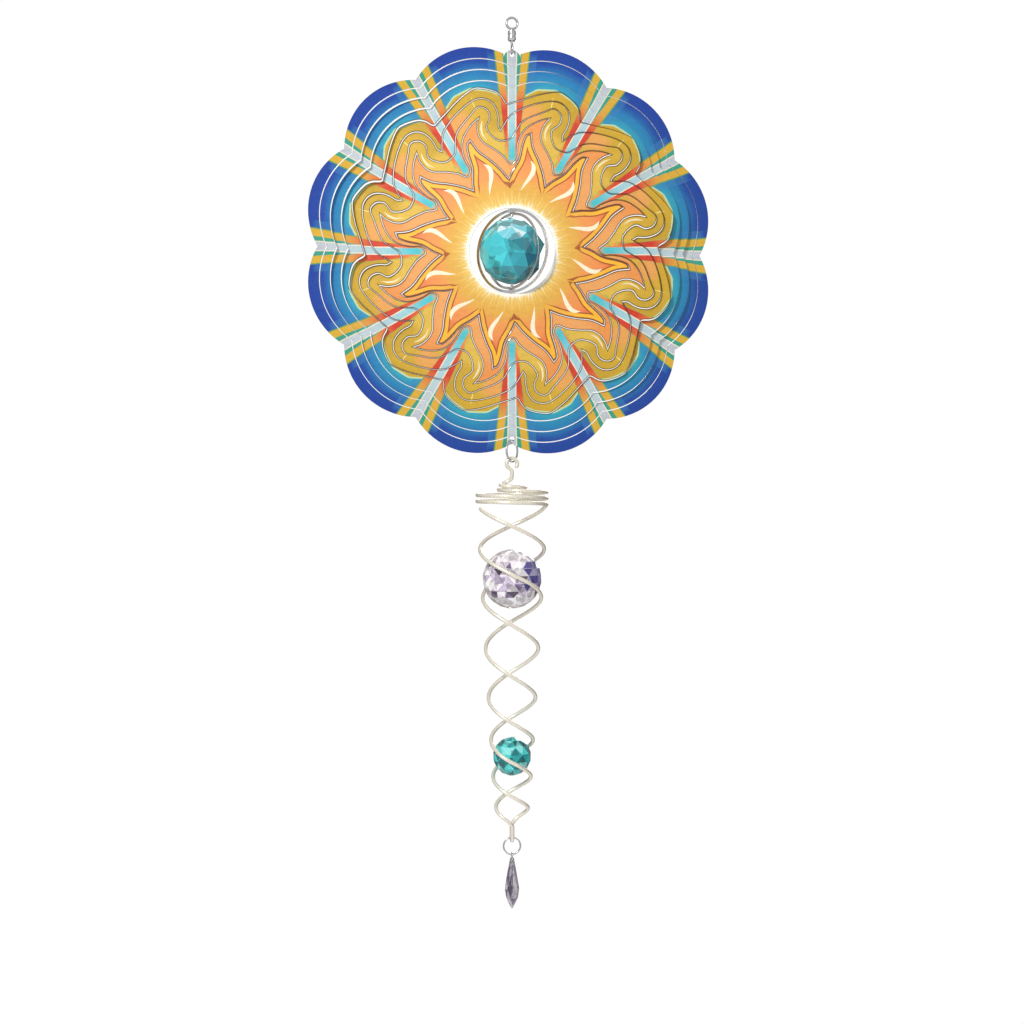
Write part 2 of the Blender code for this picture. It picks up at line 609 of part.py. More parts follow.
def coils(z):
    """From the stem out to the small coil, then out again to the large coils."""
    points = []
    opening = SMALL_COIL_POINTS - SMALL_COIL_STEPS
    small_start = -LARGE_TURNS - 0.5 - 1.2
    for step in range(opening):
        share = (step + 1) / opening
        angle = math.tau * (small_start + 0.3 * share)
        radius = SMALL_COIL * math.sin(share * math.pi / 2) ** 1.5
        height = z["small_coil"] + 0.55 * TAIL_STEM * (1 - share) ** 1.6
        points.append(Vector((radius * math.cos(angle), radius * math.sin(angle), height)))
    for step in range(1, SMALL_COIL_STEPS + 1):
        angle = math.tau * (small_start + 0.3 + 0.9 * step / SMALL_COIL_STEPS)
        points.append(Vector((SMALL_COIL * math.cos(angle), SMALL_COIL * math.sin(angle),
                              z["small_coil"] - SMALL_COIL_FALL * COIL_PITCH * step / SMALL_COIL_STEPS)))
    low = z["small_coil"] - SMALL_COIL_FALL * COIL_PITCH
    for step in range(1, 9):
        share = step / 8
        eased = share * share * (3 - 2 * share)
        angle = math.tau * (-LARGE_TURNS - 0.5 + 0.5 * share)
        radius = SMALL_COIL + (LARGE_COIL - SMALL_COIL) * eased
        points.append(Vector((radius * math.cos(angle), radius * math.sin(angle),
                              low + (z["large_coil"] - low) * eased)))
    turns = int(18 * LARGE_TURNS)
    for step in range(1, turns):
        angle = math.tau * LARGE_TURNS * (step / turns - 1)
        points.append(Vector((LARGE_COIL * math.cos(angle), LARGE_COIL * math.sin(angle),
                              z["large_coil"] - COIL_PITCH * LARGE_TURNS * step / turns)))
    return points


def closing_bend(z):
    """Hairpin in the YZ plane between the two strands."""
    points = []
    for step in range(7):
        a = math.pi * step / 6
        points.append(Vector((0, -HAIRPIN * math.cos(a), z["hairpin"] - HAIRPIN * math.sin(a))))
    return points


def tail_stretches(z):
    """The spiral's one wire, parted into stretches: name, points and the directions of its ends."""
    first = helix_leg(z, 0.0, 0.0, STRAND_STEPS)
    second = list(reversed(helix_leg(z, math.pi, HELIX_CLEAR_START, STRAND_STEPS - 2)))
    half = STRAND_STEPS // 2
    spans = (("tail_eye", eye_and_stem(z) + coils(z)[:SMALL_COIL_POINTS]),
             ("tail_coils", coils(z)[SMALL_COIL_POINTS:]),
             ("tail_strand_1_upper", first[:half]),
             ("tail_strand_1_lower", first[half:] + closing_bend(z)[:4]),
             ("tail_strand_2_lower", closing_bend(z)[4:] + second[:half]),
             ("tail_strand_2_upper", second[half:]))
    stretches = []
    previous = None
    for index, (name, points) in enumerate(spans):
        points = list(points)
        start_along = None
        end_along = None
        if previous:
            start_along = points[0] - previous[0]
            points.insert(0, previous[1] + start_along.normalized() * CLEAR)
        if index < len(spans) - 1:
            following = spans[index + 1][1][0]
            end_along = following - points[-2]
        stretches.append((name, points, (start_along, end_along)))
        previous = (points[-2], points[-1])
    return stretches


def make_tail(z, wire, clear_glass, teal_glass, steel):
    """Ring under the disc, spiral and its two caught balls."""
    ring = ring_points(TAIL_RING_RADIUS, z["tail_ring"], TAIL_RING_TURN, 20)
    add_object("tail_ring", wire_mesh("tail_ring", ring, TAIL_RING_WIRE, 8, True), steel)
    for name, points, ends in tail_stretches(z):
        add_object(name, wire_mesh(name, points, TAIL_WIRE, 6, ends=ends), wire)
    for name, radius, drop, glass in (("clear_ball", CLEAR_BALL, CLEAR_BALL_DROP, clear_glass),
                                      ("teal_ball", TEAL_BALL, TEAL_BALL_DROP, teal_glass)):
        mesh = turned_mesh(name, ball_profile(radius, 7, 0.14 * radius, 0, 0), 12, smooth=False)
        add_object(name, mesh, glass, (0, 0, z["helix_top"] - drop))


# ---- pendant ------------------------------------------------------------------------------
def make_pendant(z, steel, glass):
    """Jump ring, small link and the drilled glass drop."""
    jump = wire_mesh("jump_ring", ring_points(JUMP_RADIUS, z["jump"], 0, 20), JUMP_WIRE, 8, True)
    add_object("jump_ring", jump, steel)
    link = wire_mesh("drop_link", ring_points(LINK_RADIUS, z["link"], math.pi / 2, 14), LINK_WIRE, 6, True)
    add_object("drop_link", link, steel)
    top = z["drop_top"]
    neck = top - 4 * (DROP_HOLE + DROP_HOLE_EDGE)
    profile = [(0, top - DROP_LENGTH), (0.45 * DROP_RADIUS, top - 0.91 * DROP_LENGTH),
               (DROP_RADIUS, top - 0.68 * DROP_LENGTH), (0.93 * DROP_RADIUS, top - 0.55 * DROP_LENGTH),
               (0.5 * DROP_RADIUS, neck), (DROP_NECK, top), (0, top)]
    drop = add_object("glass_drop", turned_mesh("glass_drop", profile, 8, smooth=False), glass)
    drill = turned_mesh("drill", [(0, -DROP_RADIUS), (DROP_HOLE, -DROP_RADIUS), (DROP_HOLE, DROP_RADIUS),
                                  (0, DROP_RADIUS)], 12, smooth=False)
    cutter = bpy.data.objects.new("drop_drill", drill)
    bpy.context.scene.collection.objects.link(cutter)
    cutter.rotation_euler = (math.pi / 2, 0, 0)
    cutter.location = (0, 0, z["drop_hole"])
    cutter.hide_render = True
    cutter.display_type = "WIRE"
    cut = drop.modifiers.new("Drill", "BOOLEAN")
    cut.operation = "DIFFERENCE"
    cut.object = cutter
    cut.solver = "EXACT"


def main():
    """Build the whole spinner."""
    for thing in list(bpy.data.objects):
        bpy.data.objects.remove(thing, do_unlink=True)
    z = heights()
    steel = material("polished_steel", (0.72, 0.73, 0.74), 1.0, 0.25)
    wire = material("champagne_wire", (0.80, 0.76, 0.66), 1.0, 0.28)
    teal_glass = material("teal_glass", (0.03, 0.42, 0.46), 0.0, 0.05)
    clear_glass = material("clear_glass", (0.80, 0.78, 0.86), 0.0, 0.05)
    blues = ((0.02, 0.09, 0.40), (0.02, 0.18, 0.48), (0.03, 0.34, 0.58), (0.05, 0.45, 0.55))
    warm = ((0.72, 0.45, 0.05), (0.74, 0.50, 0.06), (0.78, 0.42, 0.08), (0.85, 0.38, 0.10))
    printed = [material("printed_" + name, colour, 0.3, 0.35)
               for name, colour in zip(RING_NAMES, blues + warm + ((0.90, 0.35, 0.08),))]
    make_disc(z, printed + [steel, steel])
    make_hanger(z, steel)
    make_centre_ball(z, teal_glass, steel)
    make_tail(z, wire, clear_glass, teal_glass, steel)
    make_pendant(z, steel, clear_glass)


main()
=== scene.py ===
"""Looks of the hanging wind spinner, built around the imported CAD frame.

The sheet's printed face is drawn once in the disc's own plane (u to the right, v up, metres from the
disc's centre).  Every ring is cut from that drawing and turned by the angle its CAD node has.
"""
import json
import math

import bmesh
import bpy
import numpy as np
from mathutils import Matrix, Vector
from mathutils.geometry import delaunay_2d_cdt


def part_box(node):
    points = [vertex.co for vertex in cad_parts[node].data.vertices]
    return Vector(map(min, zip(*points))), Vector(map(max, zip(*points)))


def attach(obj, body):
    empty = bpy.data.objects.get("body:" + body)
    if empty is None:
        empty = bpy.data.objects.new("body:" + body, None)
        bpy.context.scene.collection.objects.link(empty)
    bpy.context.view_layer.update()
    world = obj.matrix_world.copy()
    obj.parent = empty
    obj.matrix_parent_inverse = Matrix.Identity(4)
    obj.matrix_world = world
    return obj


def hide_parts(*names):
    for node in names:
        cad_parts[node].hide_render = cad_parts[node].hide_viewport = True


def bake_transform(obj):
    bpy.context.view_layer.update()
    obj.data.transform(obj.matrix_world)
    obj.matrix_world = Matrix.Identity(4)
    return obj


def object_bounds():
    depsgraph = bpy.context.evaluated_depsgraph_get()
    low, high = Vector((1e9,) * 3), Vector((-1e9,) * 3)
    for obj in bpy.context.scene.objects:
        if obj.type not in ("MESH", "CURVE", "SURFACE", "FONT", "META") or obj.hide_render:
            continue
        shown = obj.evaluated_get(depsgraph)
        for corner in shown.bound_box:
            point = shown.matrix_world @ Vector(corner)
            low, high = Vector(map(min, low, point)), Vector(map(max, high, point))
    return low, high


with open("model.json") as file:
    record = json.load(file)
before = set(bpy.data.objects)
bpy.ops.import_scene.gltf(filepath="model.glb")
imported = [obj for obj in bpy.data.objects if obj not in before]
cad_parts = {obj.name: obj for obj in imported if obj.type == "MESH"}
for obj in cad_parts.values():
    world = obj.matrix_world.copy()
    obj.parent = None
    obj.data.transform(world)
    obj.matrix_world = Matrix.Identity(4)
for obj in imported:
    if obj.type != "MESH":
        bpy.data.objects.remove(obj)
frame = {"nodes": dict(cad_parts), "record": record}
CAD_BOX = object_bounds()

MM = 0.001
LOBES = 12
SECTOR = math.tau / LOBES
JOINTS = {joint["name"]: joint for joint in frame["record"]["behaviour"]["joints"]}
DISC_Z = JOINTS["fan_1"]["pos_m"][2]
RINGS = ("petal_ring_1", "petal_ring_2", "petal_ring_3", "petal_ring_4", "petal_ring_5",
         "petal_ring_6", "petal_ring_7", "petal_ring_8", "sun_plate")
INNER_RINGS = ("inner_ring_1", "inner_ring_2")

# ---- the sheet's outlines, as the CAD model has them (mm, degrees past the notch) ---------
RIM = (155.8, 145.2)
PLAIN_SLOTS = ((147.0, 138.6), (138.8, 130.9), (130.6, 122.7))
BAY_SLOT = ((111.5, 0.0), (110.8, 2.2), (116.7, 4.0), (120.9, 6.4), (124.5, 11.0), (124.8, 14.0),
            (120.1, 19.6), (114.6, 25.5))
HOOK_SLOT = ((103.0, 0.0), (98.6, 2.2), (91.2, 5.3, "corner"), (95.2, 6.3), (100.4, 5.9), (106.5, 6.2),
             (112.5, 7.6), (116.5, 10.4), (117.1, 14.0), (113.7, 19.0), (108.4, 25.0))
CURL_SLOT = ((84.5, 0.9), (83.6, 6.5), (88.1, 10.0), (92.6, 11.4), (96.2, 11.5), (101.7, 9.4), (107.3, 9.8),
             (110.7, 11.7), (111.1, 14.0), (107.1, 17.0), (103.5, 20.3), (100.0, 23.6), (95.6, 26.4),
             (89.8, 28.3))
TONGUE_SLOT = ((65.2, 1.0), (71.8, 5.2), (78.3, 10.2), (84.0, 14.4), (90.0, 16.0), (97.6, 15.6),
               (103.6, 14.0, "corner"), (100.0, 17.9), (94.9, 22.0), (89.8, 24.8), (83.0, 26.6),
               (75.0, 27.2), (69.0, 27.0))
FLAME_SLOT = ((54.2, 2.5, "corner"), (62.0, 7.8), (70.8, 13.6), (79.7, 18.6), (89.6, 20.6, "corner"),
              (87.0, 23.0), (79.5, 24.4), (69.0, 25.6), (60.5, 29.5))
SHAPED_SLOTS = ((BAY_SLOT, 30), (HOOK_SLOT, 44), (CURL_SLOT, 48), (TONGUE_SLOT, 52), (FLAME_SLOT, 40))
SLOT = 0.6                      # plain slots
FINE_SLOT = 0.4                 # shaped slots
HAIRLINE = 0.3                  # what is left of a slot at the bridges
BRIDGE_HALF = 3.0
BRIDGE_RUN = 0.4
PAINTED_SHADE_WIDTH = 0.60                # width of the painted shade along the shaped slots
EDGE_SHADE = 0.28               # how dark the painted shade is
CHAMFER = 0.08                  # bevel round every cut
WALL_PRINT = 0.7                # grey level of the cut edges' colour corners
MITRE = 2.5                     # longest corner of a moved line, as a multiple of its move
SUN_HOLE = 32.4
INNER_SLOT = 0.8
INNER_RING_WIDTH = 2.0
TAB_HALF = 6.5
TAB_RISE = 6.0
TAB_HOLE = 1.8
TAB_HOLE_EDGE = 1.6
TAIL_HOLE = 1.9
TAIL_HOLE_EDGE = 1.7
SHEET = 0.8
CLEAR = 0.3
INNERMOST = 26.8
BRIDGE_VISIBLE = 2.6
INNER_BRIDGE = 1.6
BRIDGE_HOLD = 0.5               # how far a bridge's strip runs into the rings it joins
BRIDGE_THIN = 0.9               # its thickness as a share of the sheet's

# ---- hanger, balls and tail, as the CAD model has them (mm) -------------------------------
EYE_RADIUS = 4.2
EYE_WIRE = 0.9
EYE_SHANK = 1.6
EYE_SHANK_DEPTH = 3.0
EYE_NECK = 1.2
BARREL_WALL = 0.9
BARREL_FLOOR = 1.4
BARREL_BEVEL = 0.8
BARREL_GROOVE = 0.3
PIN_HEAD = 2.0
PIN_HEAD_HEIGHT = 1.4
PIN_STEM = 1.0
LOOP_RADIUS = 3.2
LOOP_WIRE = 0.7
BALL = 25.0
BALL_FLAT = 3.5
BALL_PIN = 1.0
TAIL_RING_RADIUS = 8.2
TAIL_RING_WIRE = 0.75
TAIL_RING_TURN = math.radians(52)
TAIL_WIRE = 1.45
TAIL_EYE = 4.0
TAIL_STEM = 13.0
EYE_OPEN = math.radians(58)
SMALL_COIL = 10.1
LARGE_COIL = 26.15              # a little inside the CAD's coils, which are polygons
COIL_PITCH = 4.6
SMALL_COIL_FALL = 0.62
LARGE_TURNS = 2.0
HELIX_TURNS = 3.75
HELIX_SLACK = 0.75
HELIX_LEAD = 0.085
HELIX_LENGTH = 242.5
HELIX_END = 12.0
HELIX_CLOSING = 0.075
HELIX_CLEAR_START = 0.014
HAIRPIN = 2.6
HAIRPIN_LENGTH = 8.0
TAIL_EYE_END = math.radians(312)
SMALL_TURNS = 1.2               # the small coil, of which the first part spirals out
OPENING_TURNS = 0.3
LARGE_START = 0.5               # turns over which the small coil widens to the large one
CLEAR_BALL = 22.3
TEAL_BALL = 14.5
CLEAR_BALL_DROP = 56.0
TEAL_BALL_RISE = 53.0
JUMP_RADIUS = 6.4
JUMP_WIRE = 0.65
LINK_RADIUS = 2.9
LINK_WIRE = 0.45
DROP_RADIUS = 5.5
DROP_NECK = 1.4
DROP_HOLE = 1.05
DROP_HOLE_EDGE = 1.0

DOME = (0.45, 0.95, 1.57)       # angles of the rings that dome a free wire end
SHARP = math.radians(35)        # edges steeper than this stay sharp

# ---- stage (metres, watts) ----------------------------------------------------------------
CAMERA_AWAY = 1.15
CAMERA_TURN = math.radians(8.5)     # how far left of straight ahead it stands
FRAME_WIDTH = 0.771             # what the picture spans at the disc
CAMERA_BELOW_DISC = 0.1965
FLOOR_Z = CAD_BOX[0].z - 0.42
FLOOR_RADIUS = 0.8
SOFTBOX = (-0.35, -0.80, 0.45)  # direction of the brightest surroundings
WORLD_DARK = (0.22, 0.20, 0.18)
WORLD_LIGHT = (0.54, 0.54, 0.55)
WORLD_SPREAD = (-0.45, 0.5)     # facing at which the surroundings are darkest and lightest
BACKDROP = (1.02, 1.02, 1.02)   # what the camera sees behind the spinner
SENSOR = 36.0                   # mm
# name, place, height it is aimed at from the disc's middle, size, power, colour
LIGHTS = (("key", (-1.1, -1.7, 0.75), 0.0, 0.30, 28.0, (1.0, 0.98, 0.95)),
          ("rear", (0.7, 1.8, 0.4), -0.1, 1.2, 14.0, (1, 1, 1)),
          ("fill", (1.3, -1.2, -0.1), -0.2, 1.0, 1.5, (1, 1, 1)))

# ---- cut glass ----------------------------------------------------------------------------
GLASS_BEVEL = 0.00012           # metres
SAME_FACET = math.radians(1.5)
STAR = Vector((-0.12, -0.80, 0.59)).normalized()    # where the centre ball's pale facets, its painted highlight, meet
STAR_ACROSS = STAR.cross(Vector((0, 0, 1))).normalized()
STAR_UP = STAR_ACROSS.cross(STAR)
STAR_REACH = math.radians(27)
STAR_ARMS = 10
CAUGHT_BALL_FLAT = 0.14         # flats of the caught balls, as a share of their radius
DROP_SIDES = 8

# ---- the print, measured in the disc's plane (mm, degrees past a ray) ---------------------
RAY_HALF = 3.1                  # half width of a ray's pale stripe at the rim
RAY_TIP = 66.5                  # where it starts
RAY_BORDER = 0.8
TEAL_START = 113.0              # teal beside the stripe, from here out
GREEN_EDGE = 0.9
SIDE_BLUE = 5.4                 # lighter blue beside the dark lobe
OUTLINE = ((117.0, 4.0), (121.5, 8.0), (125.5, 14.5), (123.0, 21.0), (116.0, 26.0))
OUTLINE_HALF = 0.7
CONTOUR = (1.3, 3.9, 4.9)       # flame contour: dark edge, gold band, inner line
SUN_RAYS = 96
SUN_RAY_END = 49.0
GLOW = 34.5                     # white round the hole, then fading
GLOW_FADE = 2.6
SUN_RAY_STEP = 6.0              # every other thin ray is this much shorter
SUN_RAY_HALF = 0.55             # half width in degrees of a thin ray at its root
BAND_AT = 145.0                 # radius at which the two widths below hold
BAND_INNER = (7.1, 0.118)       # gold band beside a ray: width, and what it loses per mm inwards
BAND_OUTER = (12.4, 0.115)
BAND_START = 84.0               # where the lines beside the rays start
GREEN_START = 108.0
SIDE_START = 118.0
GRID = 3.4                      # spacing of the loose points that carry smooth colour changes
COMMA = ((46.0, 21.6, 0.2), (51.0, 19.0, 0.9), (57.0, 16.0, 1.5), (62.0, 14.9, 1.7), (66.0, 15.9, 1.2),
         (69.0, 18.0, 0.2))
CURL_LIGHT = ((86.0, 12.9, 0.1), (91.0, 14.2, 0.6), (96.5, 13.9, 0.7), (101.0, 12.8, 0.1))
SPARK = ((110.8, 14.6, 0.1), (114.0, 14.7, 0.35), (119.5, 14.9, 0.1))


def srgb(r, g, b):
    """Linear colour from 0-255 display values."""
    return tuple((c / 255 / 12.92) if c <= 10 else ((c / 255 + 0.055) / 1.055) ** 2.4 for c in (r, g, b))


# ---- outlines -----------------------------------------------------------------------------
def polar(radius, degrees):
    """Point of the disc's plane, in mm."""
    angle = math.radians(degrees)
    return np.array((radius * math.cos(angle), radius * math.sin(angle)))


def lobed(axis_radius, notch_radius, steps):
    """Twelve round lobes, each one circular arc through its notches and its middle."""
    half = SECTOR / 2
    centre = (axis_radius ** 2 - notch_radius ** 2) / (2 * (axis_radius - notch_radius * math.cos(half)))
    arc = axis_radius - centre
    sweep = math.atan2(notch_radius * math.sin(half), notch_radius * math.cos(half) - centre)
    points = []
    for lobe in range(LOBES):
        middle = lobe * SECTOR + half
        for step in range(steps):
            turn = middle + sweep * (2 * step / steps - 1)
            points.append((centre * math.cos(middle) + arc * math.cos(turn),
                           centre * math.sin(middle) + arc * math.sin(turn)))
    return np.array(points)


def circle(radius, steps, centre=(0.0, 0.0)):
    """Circle in the disc's plane."""
    turns = np.arange(steps) * math.tau / steps
    return np.stack((centre[0] + radius * np.cos(turns), centre[1] + radius * np.sin(turns)), axis=1)


def run_through(points, steps):
    """Open Catmull-Rom curve through the points, without its last point."""
    points = [np.array(p) for p in points]
    ends = [2 * points[0] - points[1]] + points + [2 * points[-1] - points[-2]]
    spans = len(points) - 1
    run = []
    for step in range(steps):
        place = spans * step / steps
        index = min(int(place), spans - 1)
        t = place - index
        a, b, c, d = ends[index:index + 4]
        run.append(0.5 * (2 * b + (c - a) * t + (2 * a - 5 * b + 4 * c - d) * t ** 2
                          + (3 * b - a - 3 * c + d) * t ** 3))
    return run


def shaped(controls, steps):
    """Closed line: one sector's control points repeated round, smooth between corners."""
    points = []
    corners = []
    for sector in range(LOBES):
        for control in controls:
            corners.append(len(control) > 2)
            points.append(polar(control[0], 360 / LOBES * sector + control[1]))
    count = len(points)
    breaks = [index for index in range(count) if corners[index]]
    if not breaks:
        closed = run_through(points[-2:] + points + points[:2], (count + 3) * steps // len(controls))
        share = steps / len(controls)
        return np.array(closed[round(2 * share):round(2 * share) + count * steps // len(controls)])
    outline = []
    for here, following in zip(breaks, breaks[1:] + [breaks[0] + count]):
        span = [points[index % count] for index in range(here, following + 1)]
        outline += run_through(span, max(2, round(steps * (following - here) / len(controls))))
    return np.array(outline)


def with_bridges(outline):
    """The same closed line with points added where a slot narrows into each bridge."""
    marks = [side * (BRIDGE_HALF + run) for side in (-1, 1) for run in (0, BRIDGE_RUN)]
    line = []
    for start, end in zip(outline, np.roll(outline, -1, axis=0)):
        line.append(start)
        cuts = [(mark - start[0]) / (end[0] - start[0]) for mark in marks
                if (start[0] - mark) * (end[0] - mark) < 0]
        line += [start + (end - start) * cut for cut in sorted(cuts) if 0.05 < cut < 0.95]
    return np.array(line)


def moved_out(outline, wide, narrow=None):
    """Closed anticlockwise line moved outwards, by less at the two bridges."""
    before = outline - np.roll(outline, 1, axis=0)
    after = np.roll(outline, -1, axis=0) - outline
    before /= np.linalg.norm(before, axis=1)[:, None]
    after /= np.linalg.norm(after, axis=1)[:, None]
    normal = np.stack((before[:, 1] + after[:, 1], -before[:, 0] - after[:, 0]), axis=1)
    length = np.linalg.norm(normal, axis=1)
    mitre = np.minimum(MITRE, 2 / np.maximum(length, 0.5))
    amount = np.full(len(outline), wide)
    if narrow is not None:
        amount[np.abs(outline[:, 0]) < BRIDGE_HALF + BRIDGE_RUN / 2] = narrow
    return outline + normal / length[:, None] * (amount * mitre)[:, None]


def rim_with_tab():
    """The disc's edge with the rounded hanging tab in its top notch."""
    lobes = lobed(*RIM, 24)
    near_top = (lobes[:, 1] > 0) & (np.abs(lobes[:, 0]) < TAB_HALF + 0.5)
    edge = lobes[~near_top]
    angle = np.degrees(np.arctan2(edge[:, 1], edge[:, 0])) % 360
    edge = edge[np.argsort(angle)]
    angle = np.sort(angle)
    root = lobes[(lobes[:, 1] > 0) & (np.abs(lobes[:, 0] - TAB_HALF) < 1.5)][:, 1].max()
    centre = RIM[1] + TAB_RISE - TAB_HALF
    turns = np.linspace(0, math.pi, 25)
    tab = np.stack((TAB_HALF * np.cos(turns), centre + TAB_HALF * np.sin(turns)), axis=1)
    tab = np.concatenate(([[TAB_HALF, root]], tab, [[-TAB_HALF, root]]))
    split = int(np.searchsorted(angle, 90))
    return np.concatenate((edge[:split], tab, edge[split:]))


def slot_lines():
    """Centre line of every slot of the printed sheet, from the rim inwards."""
    lines = [lobed(*radii, 20) for radii in PLAIN_SLOTS]
    lines += [shaped(controls, steps) for controls, steps in SHAPED_SLOTS]
    return [with_bridges(line) for line in lines]


def inner_slot_lines():
    """Centre lines of the two slots round the inner rings."""
    return [with_bridges(circle(radius, 180))
            for radius in (SUN_HOLE - INNER_SLOT / 2, SUN_HOLE - INNER_SLOT * 3 / 2 - INNER_RING_WIDTH)]


def ribbon(strokes, sector):
    """Closed outline of a brush stroke: (radius, degrees, half width) points of one sector."""
    middle = run_through([np.array((r, a, w)) for r, a, w in strokes], 14) + [np.array(strokes[-1])]
    places = np.array([polar(r, a + 360 / LOBES * sector) for r, a, _ in middle])
    width = np.array([max(w, 0.05) for _, _, w in middle])
    along = np.gradient(places, axis=0)
    along /= np.linalg.norm(along, axis=1)[:, None]
    side = np.stack((along[:, 1], -along[:, 0]), axis=1) * width[:, None]
    return np.concatenate((places + side, (places - side)[::-1]))


def inside(points, outline):
    """Which points lie inside a closed outline."""
    x, y = points[:, 0], points[:, 1]
    result = np.zeros(len(points), bool)
    for (x0, y0), (x1, y1) in zip(outline, np.roll(outline, -1, axis=0)):
        if y0 == y1:
            continue
        crosses = (y0 > y) != (y1 > y)
        result ^= crosses & (x < (x1 - x0) * (y - y0) / (y1 - y0) + x0)
    return result


def distance_to(points, outline):
    """Shortest distance from each point to a closed outline."""
    best = np.full(len(points), 1e9)
    for start, end in zip(outline, np.roll(outline, -1, axis=0)):
        edge = end - start
        t = np.clip(((points - start) @ edge) / max(edge @ edge, 1e-12), 0, 1)
        best = np.minimum(best, np.linalg.norm(points - start - t[:, None] * edge, axis=1))
    return best


# ---- where the print changes colour -------------------------------------------------------
def band_inner(radius):
    """Distance from a ray's middle to the inner edge of its gold and red band."""
    return np.maximum(border_half(radius), BAND_INNER[0] - BAND_INNER[1] * (BAND_AT - radius))


def band_outer(radius):
    """Distance from a ray's middle to the outer edge of its gold and red band."""
    return BAND_OUTER[0] - BAND_OUTER[1] * (BAND_AT - radius)


def green_outer(radius):
    """Distance from a ray's middle to the outer edge of the green line."""
    return band_outer(radius) + GREEN_EDGE


def side_outer(radius):
    """Distance from a ray's middle to the outer edge of the lighter blue."""
    return green_outer(radius) + SIDE_BLUE


def stripe_half(radius):
    """Half width of a ray's pale stripe, rounded off at its tip."""
    reach = np.clip((radius - RAY_TIP) / 3.0, 0, 1)
    width = np.interp(radius, (66, 130, 145), (0.78 * RAY_HALF, 0.82 * RAY_HALF, RAY_HALF))
    return width * np.sqrt(1 - (1 - reach) ** 2)


def border_half(radius):
    """Half width of a ray's pale stripe with its border."""
    return stripe_half(radius) + RAY_BORDER


def outline_radius(past):
    """Radius of the pale line between the blue and the yellow, by degrees past a ray."""
    angles = [-0.1] + [a for _, a in OUTLINE] + [30.1]
    radii = [112.0] + [r for r, _ in OUTLINE] + [108.0]
    return np.interp(past, angles, radii)


def ray_line(offset, sector, side, start, steps):
    """Line out to the rim beside a ray, whose distance from the ray's middle is offset(radius)."""
    radius = np.linspace(start, RIM[0], steps)
    across = offset(radius) * side
    along = np.sqrt(np.maximum(radius ** 2 - across ** 2, 0))
    angle = sector * SECTOR
    return np.stack((along * math.cos(angle) - across * math.sin(angle),
                     along * math.sin(angle) + across * math.cos(angle)), axis=1)


def print_lines(flame):
    """Every line where the print changes colour: (points, closed)."""
    lines = []
    for sector in range(LOBES):
        for side in (-1, 1):
            lines += [(ray_line(offset, sector, side, start, steps), False) for offset, start, steps in (
                (stripe_half, RAY_TIP, 24), (border_half, RAY_TIP, 16), (band_inner, TEAL_START, 6),
                (band_outer, BAND_START, 4), (green_outer, GREEN_START, 4), (side_outer, SIDE_START, 4))]
        for strokes in (COMMA, CURL_LIGHT, SPARK):
            lines.append((ribbon(strokes, sector), True))
        past = np.linspace(4.0, 26.0, 30)
        for side in (-1, 1):
            radius = outline_radius(past) + side * OUTLINE_HALF
            angle = np.radians(past) + sector * SECTOR
            lines.append((np.stack((radius * np.cos(angle), radius * np.sin(angle)), axis=1), False))
    for depth in CONTOUR:
        lines.append((moved_out(flame, -depth), True))
    for ray in range(SUN_RAYS):
        middle = 360 * ray / SUN_RAYS
        tip = SUN_RAY_END - SUN_RAY_STEP * (ray % 2)
        lines.append((np.array((polar(GLOW, middle - SUN_RAY_HALF), polar(tip, middle),
                                polar(GLOW, middle + SUN_RAY_HALF))), True))
    return lines


def grid_points():
    """Loose points that keep the triangles small enough for smooth colour changes."""
    return np.concatenate([circle(radius, int(math.tau * radius / GRID))
                           for radius in np.arange(SUN_HOLE + 2, RIM[0] - 1, GRID)])


# ---- the print ----------------------------------------------------------------------------
CREAM = srgb(250, 240, 214)
TEAL_GREEN = srgb(58, 176, 170)
GREEN = srgb(112, 168, 92)
SIDE = srgb(60, 140, 196)
PALE_LINE = srgb(204, 228, 178)
YELLOW = srgb(216, 174, 46)
OLIVE_GOLD = srgb(205, 166, 44)
ORANGE = srgb(246, 164, 78)
DEEP_ORANGE = srgb(235, 100, 60)
BROWN = srgb(168, 86, 18)
FLAME_GOLD = srgb(250, 185, 40)
WHITE = srgb(255, 254, 246)
PEACH = srgb(244, 168, 92)
STRAW = srgb(246, 206, 90)
MOSS = srgb(168, 178, 84)
SEA_GREEN = srgb(60, 168, 140)
INNER_WARM = (srgb(238, 150, 72), srgb(240, 166, 92))
LIGHT_CREAM = srgb(250, 230, 186)
SPARK_YELLOW = srgb(252, 236, 150)
COMMA_CREAM = srgb(252, 238, 208)
SUN_INNER = srgb(236, 196, 100)
SUN_GOLD = srgb(226, 172, 62)
SUN_ORANGE = srgb(238, 148, 72)
CONTOUR_INNER = srgb(238, 176, 50)
THIN_RAY = (srgb(248, 222, 124), srgb(238, 196, 80))


def table(*rows):
    """Table of (place, linear colour) from rows of place and display values."""
    return [(place, srgb(*colour)) for place, *colour in rows]


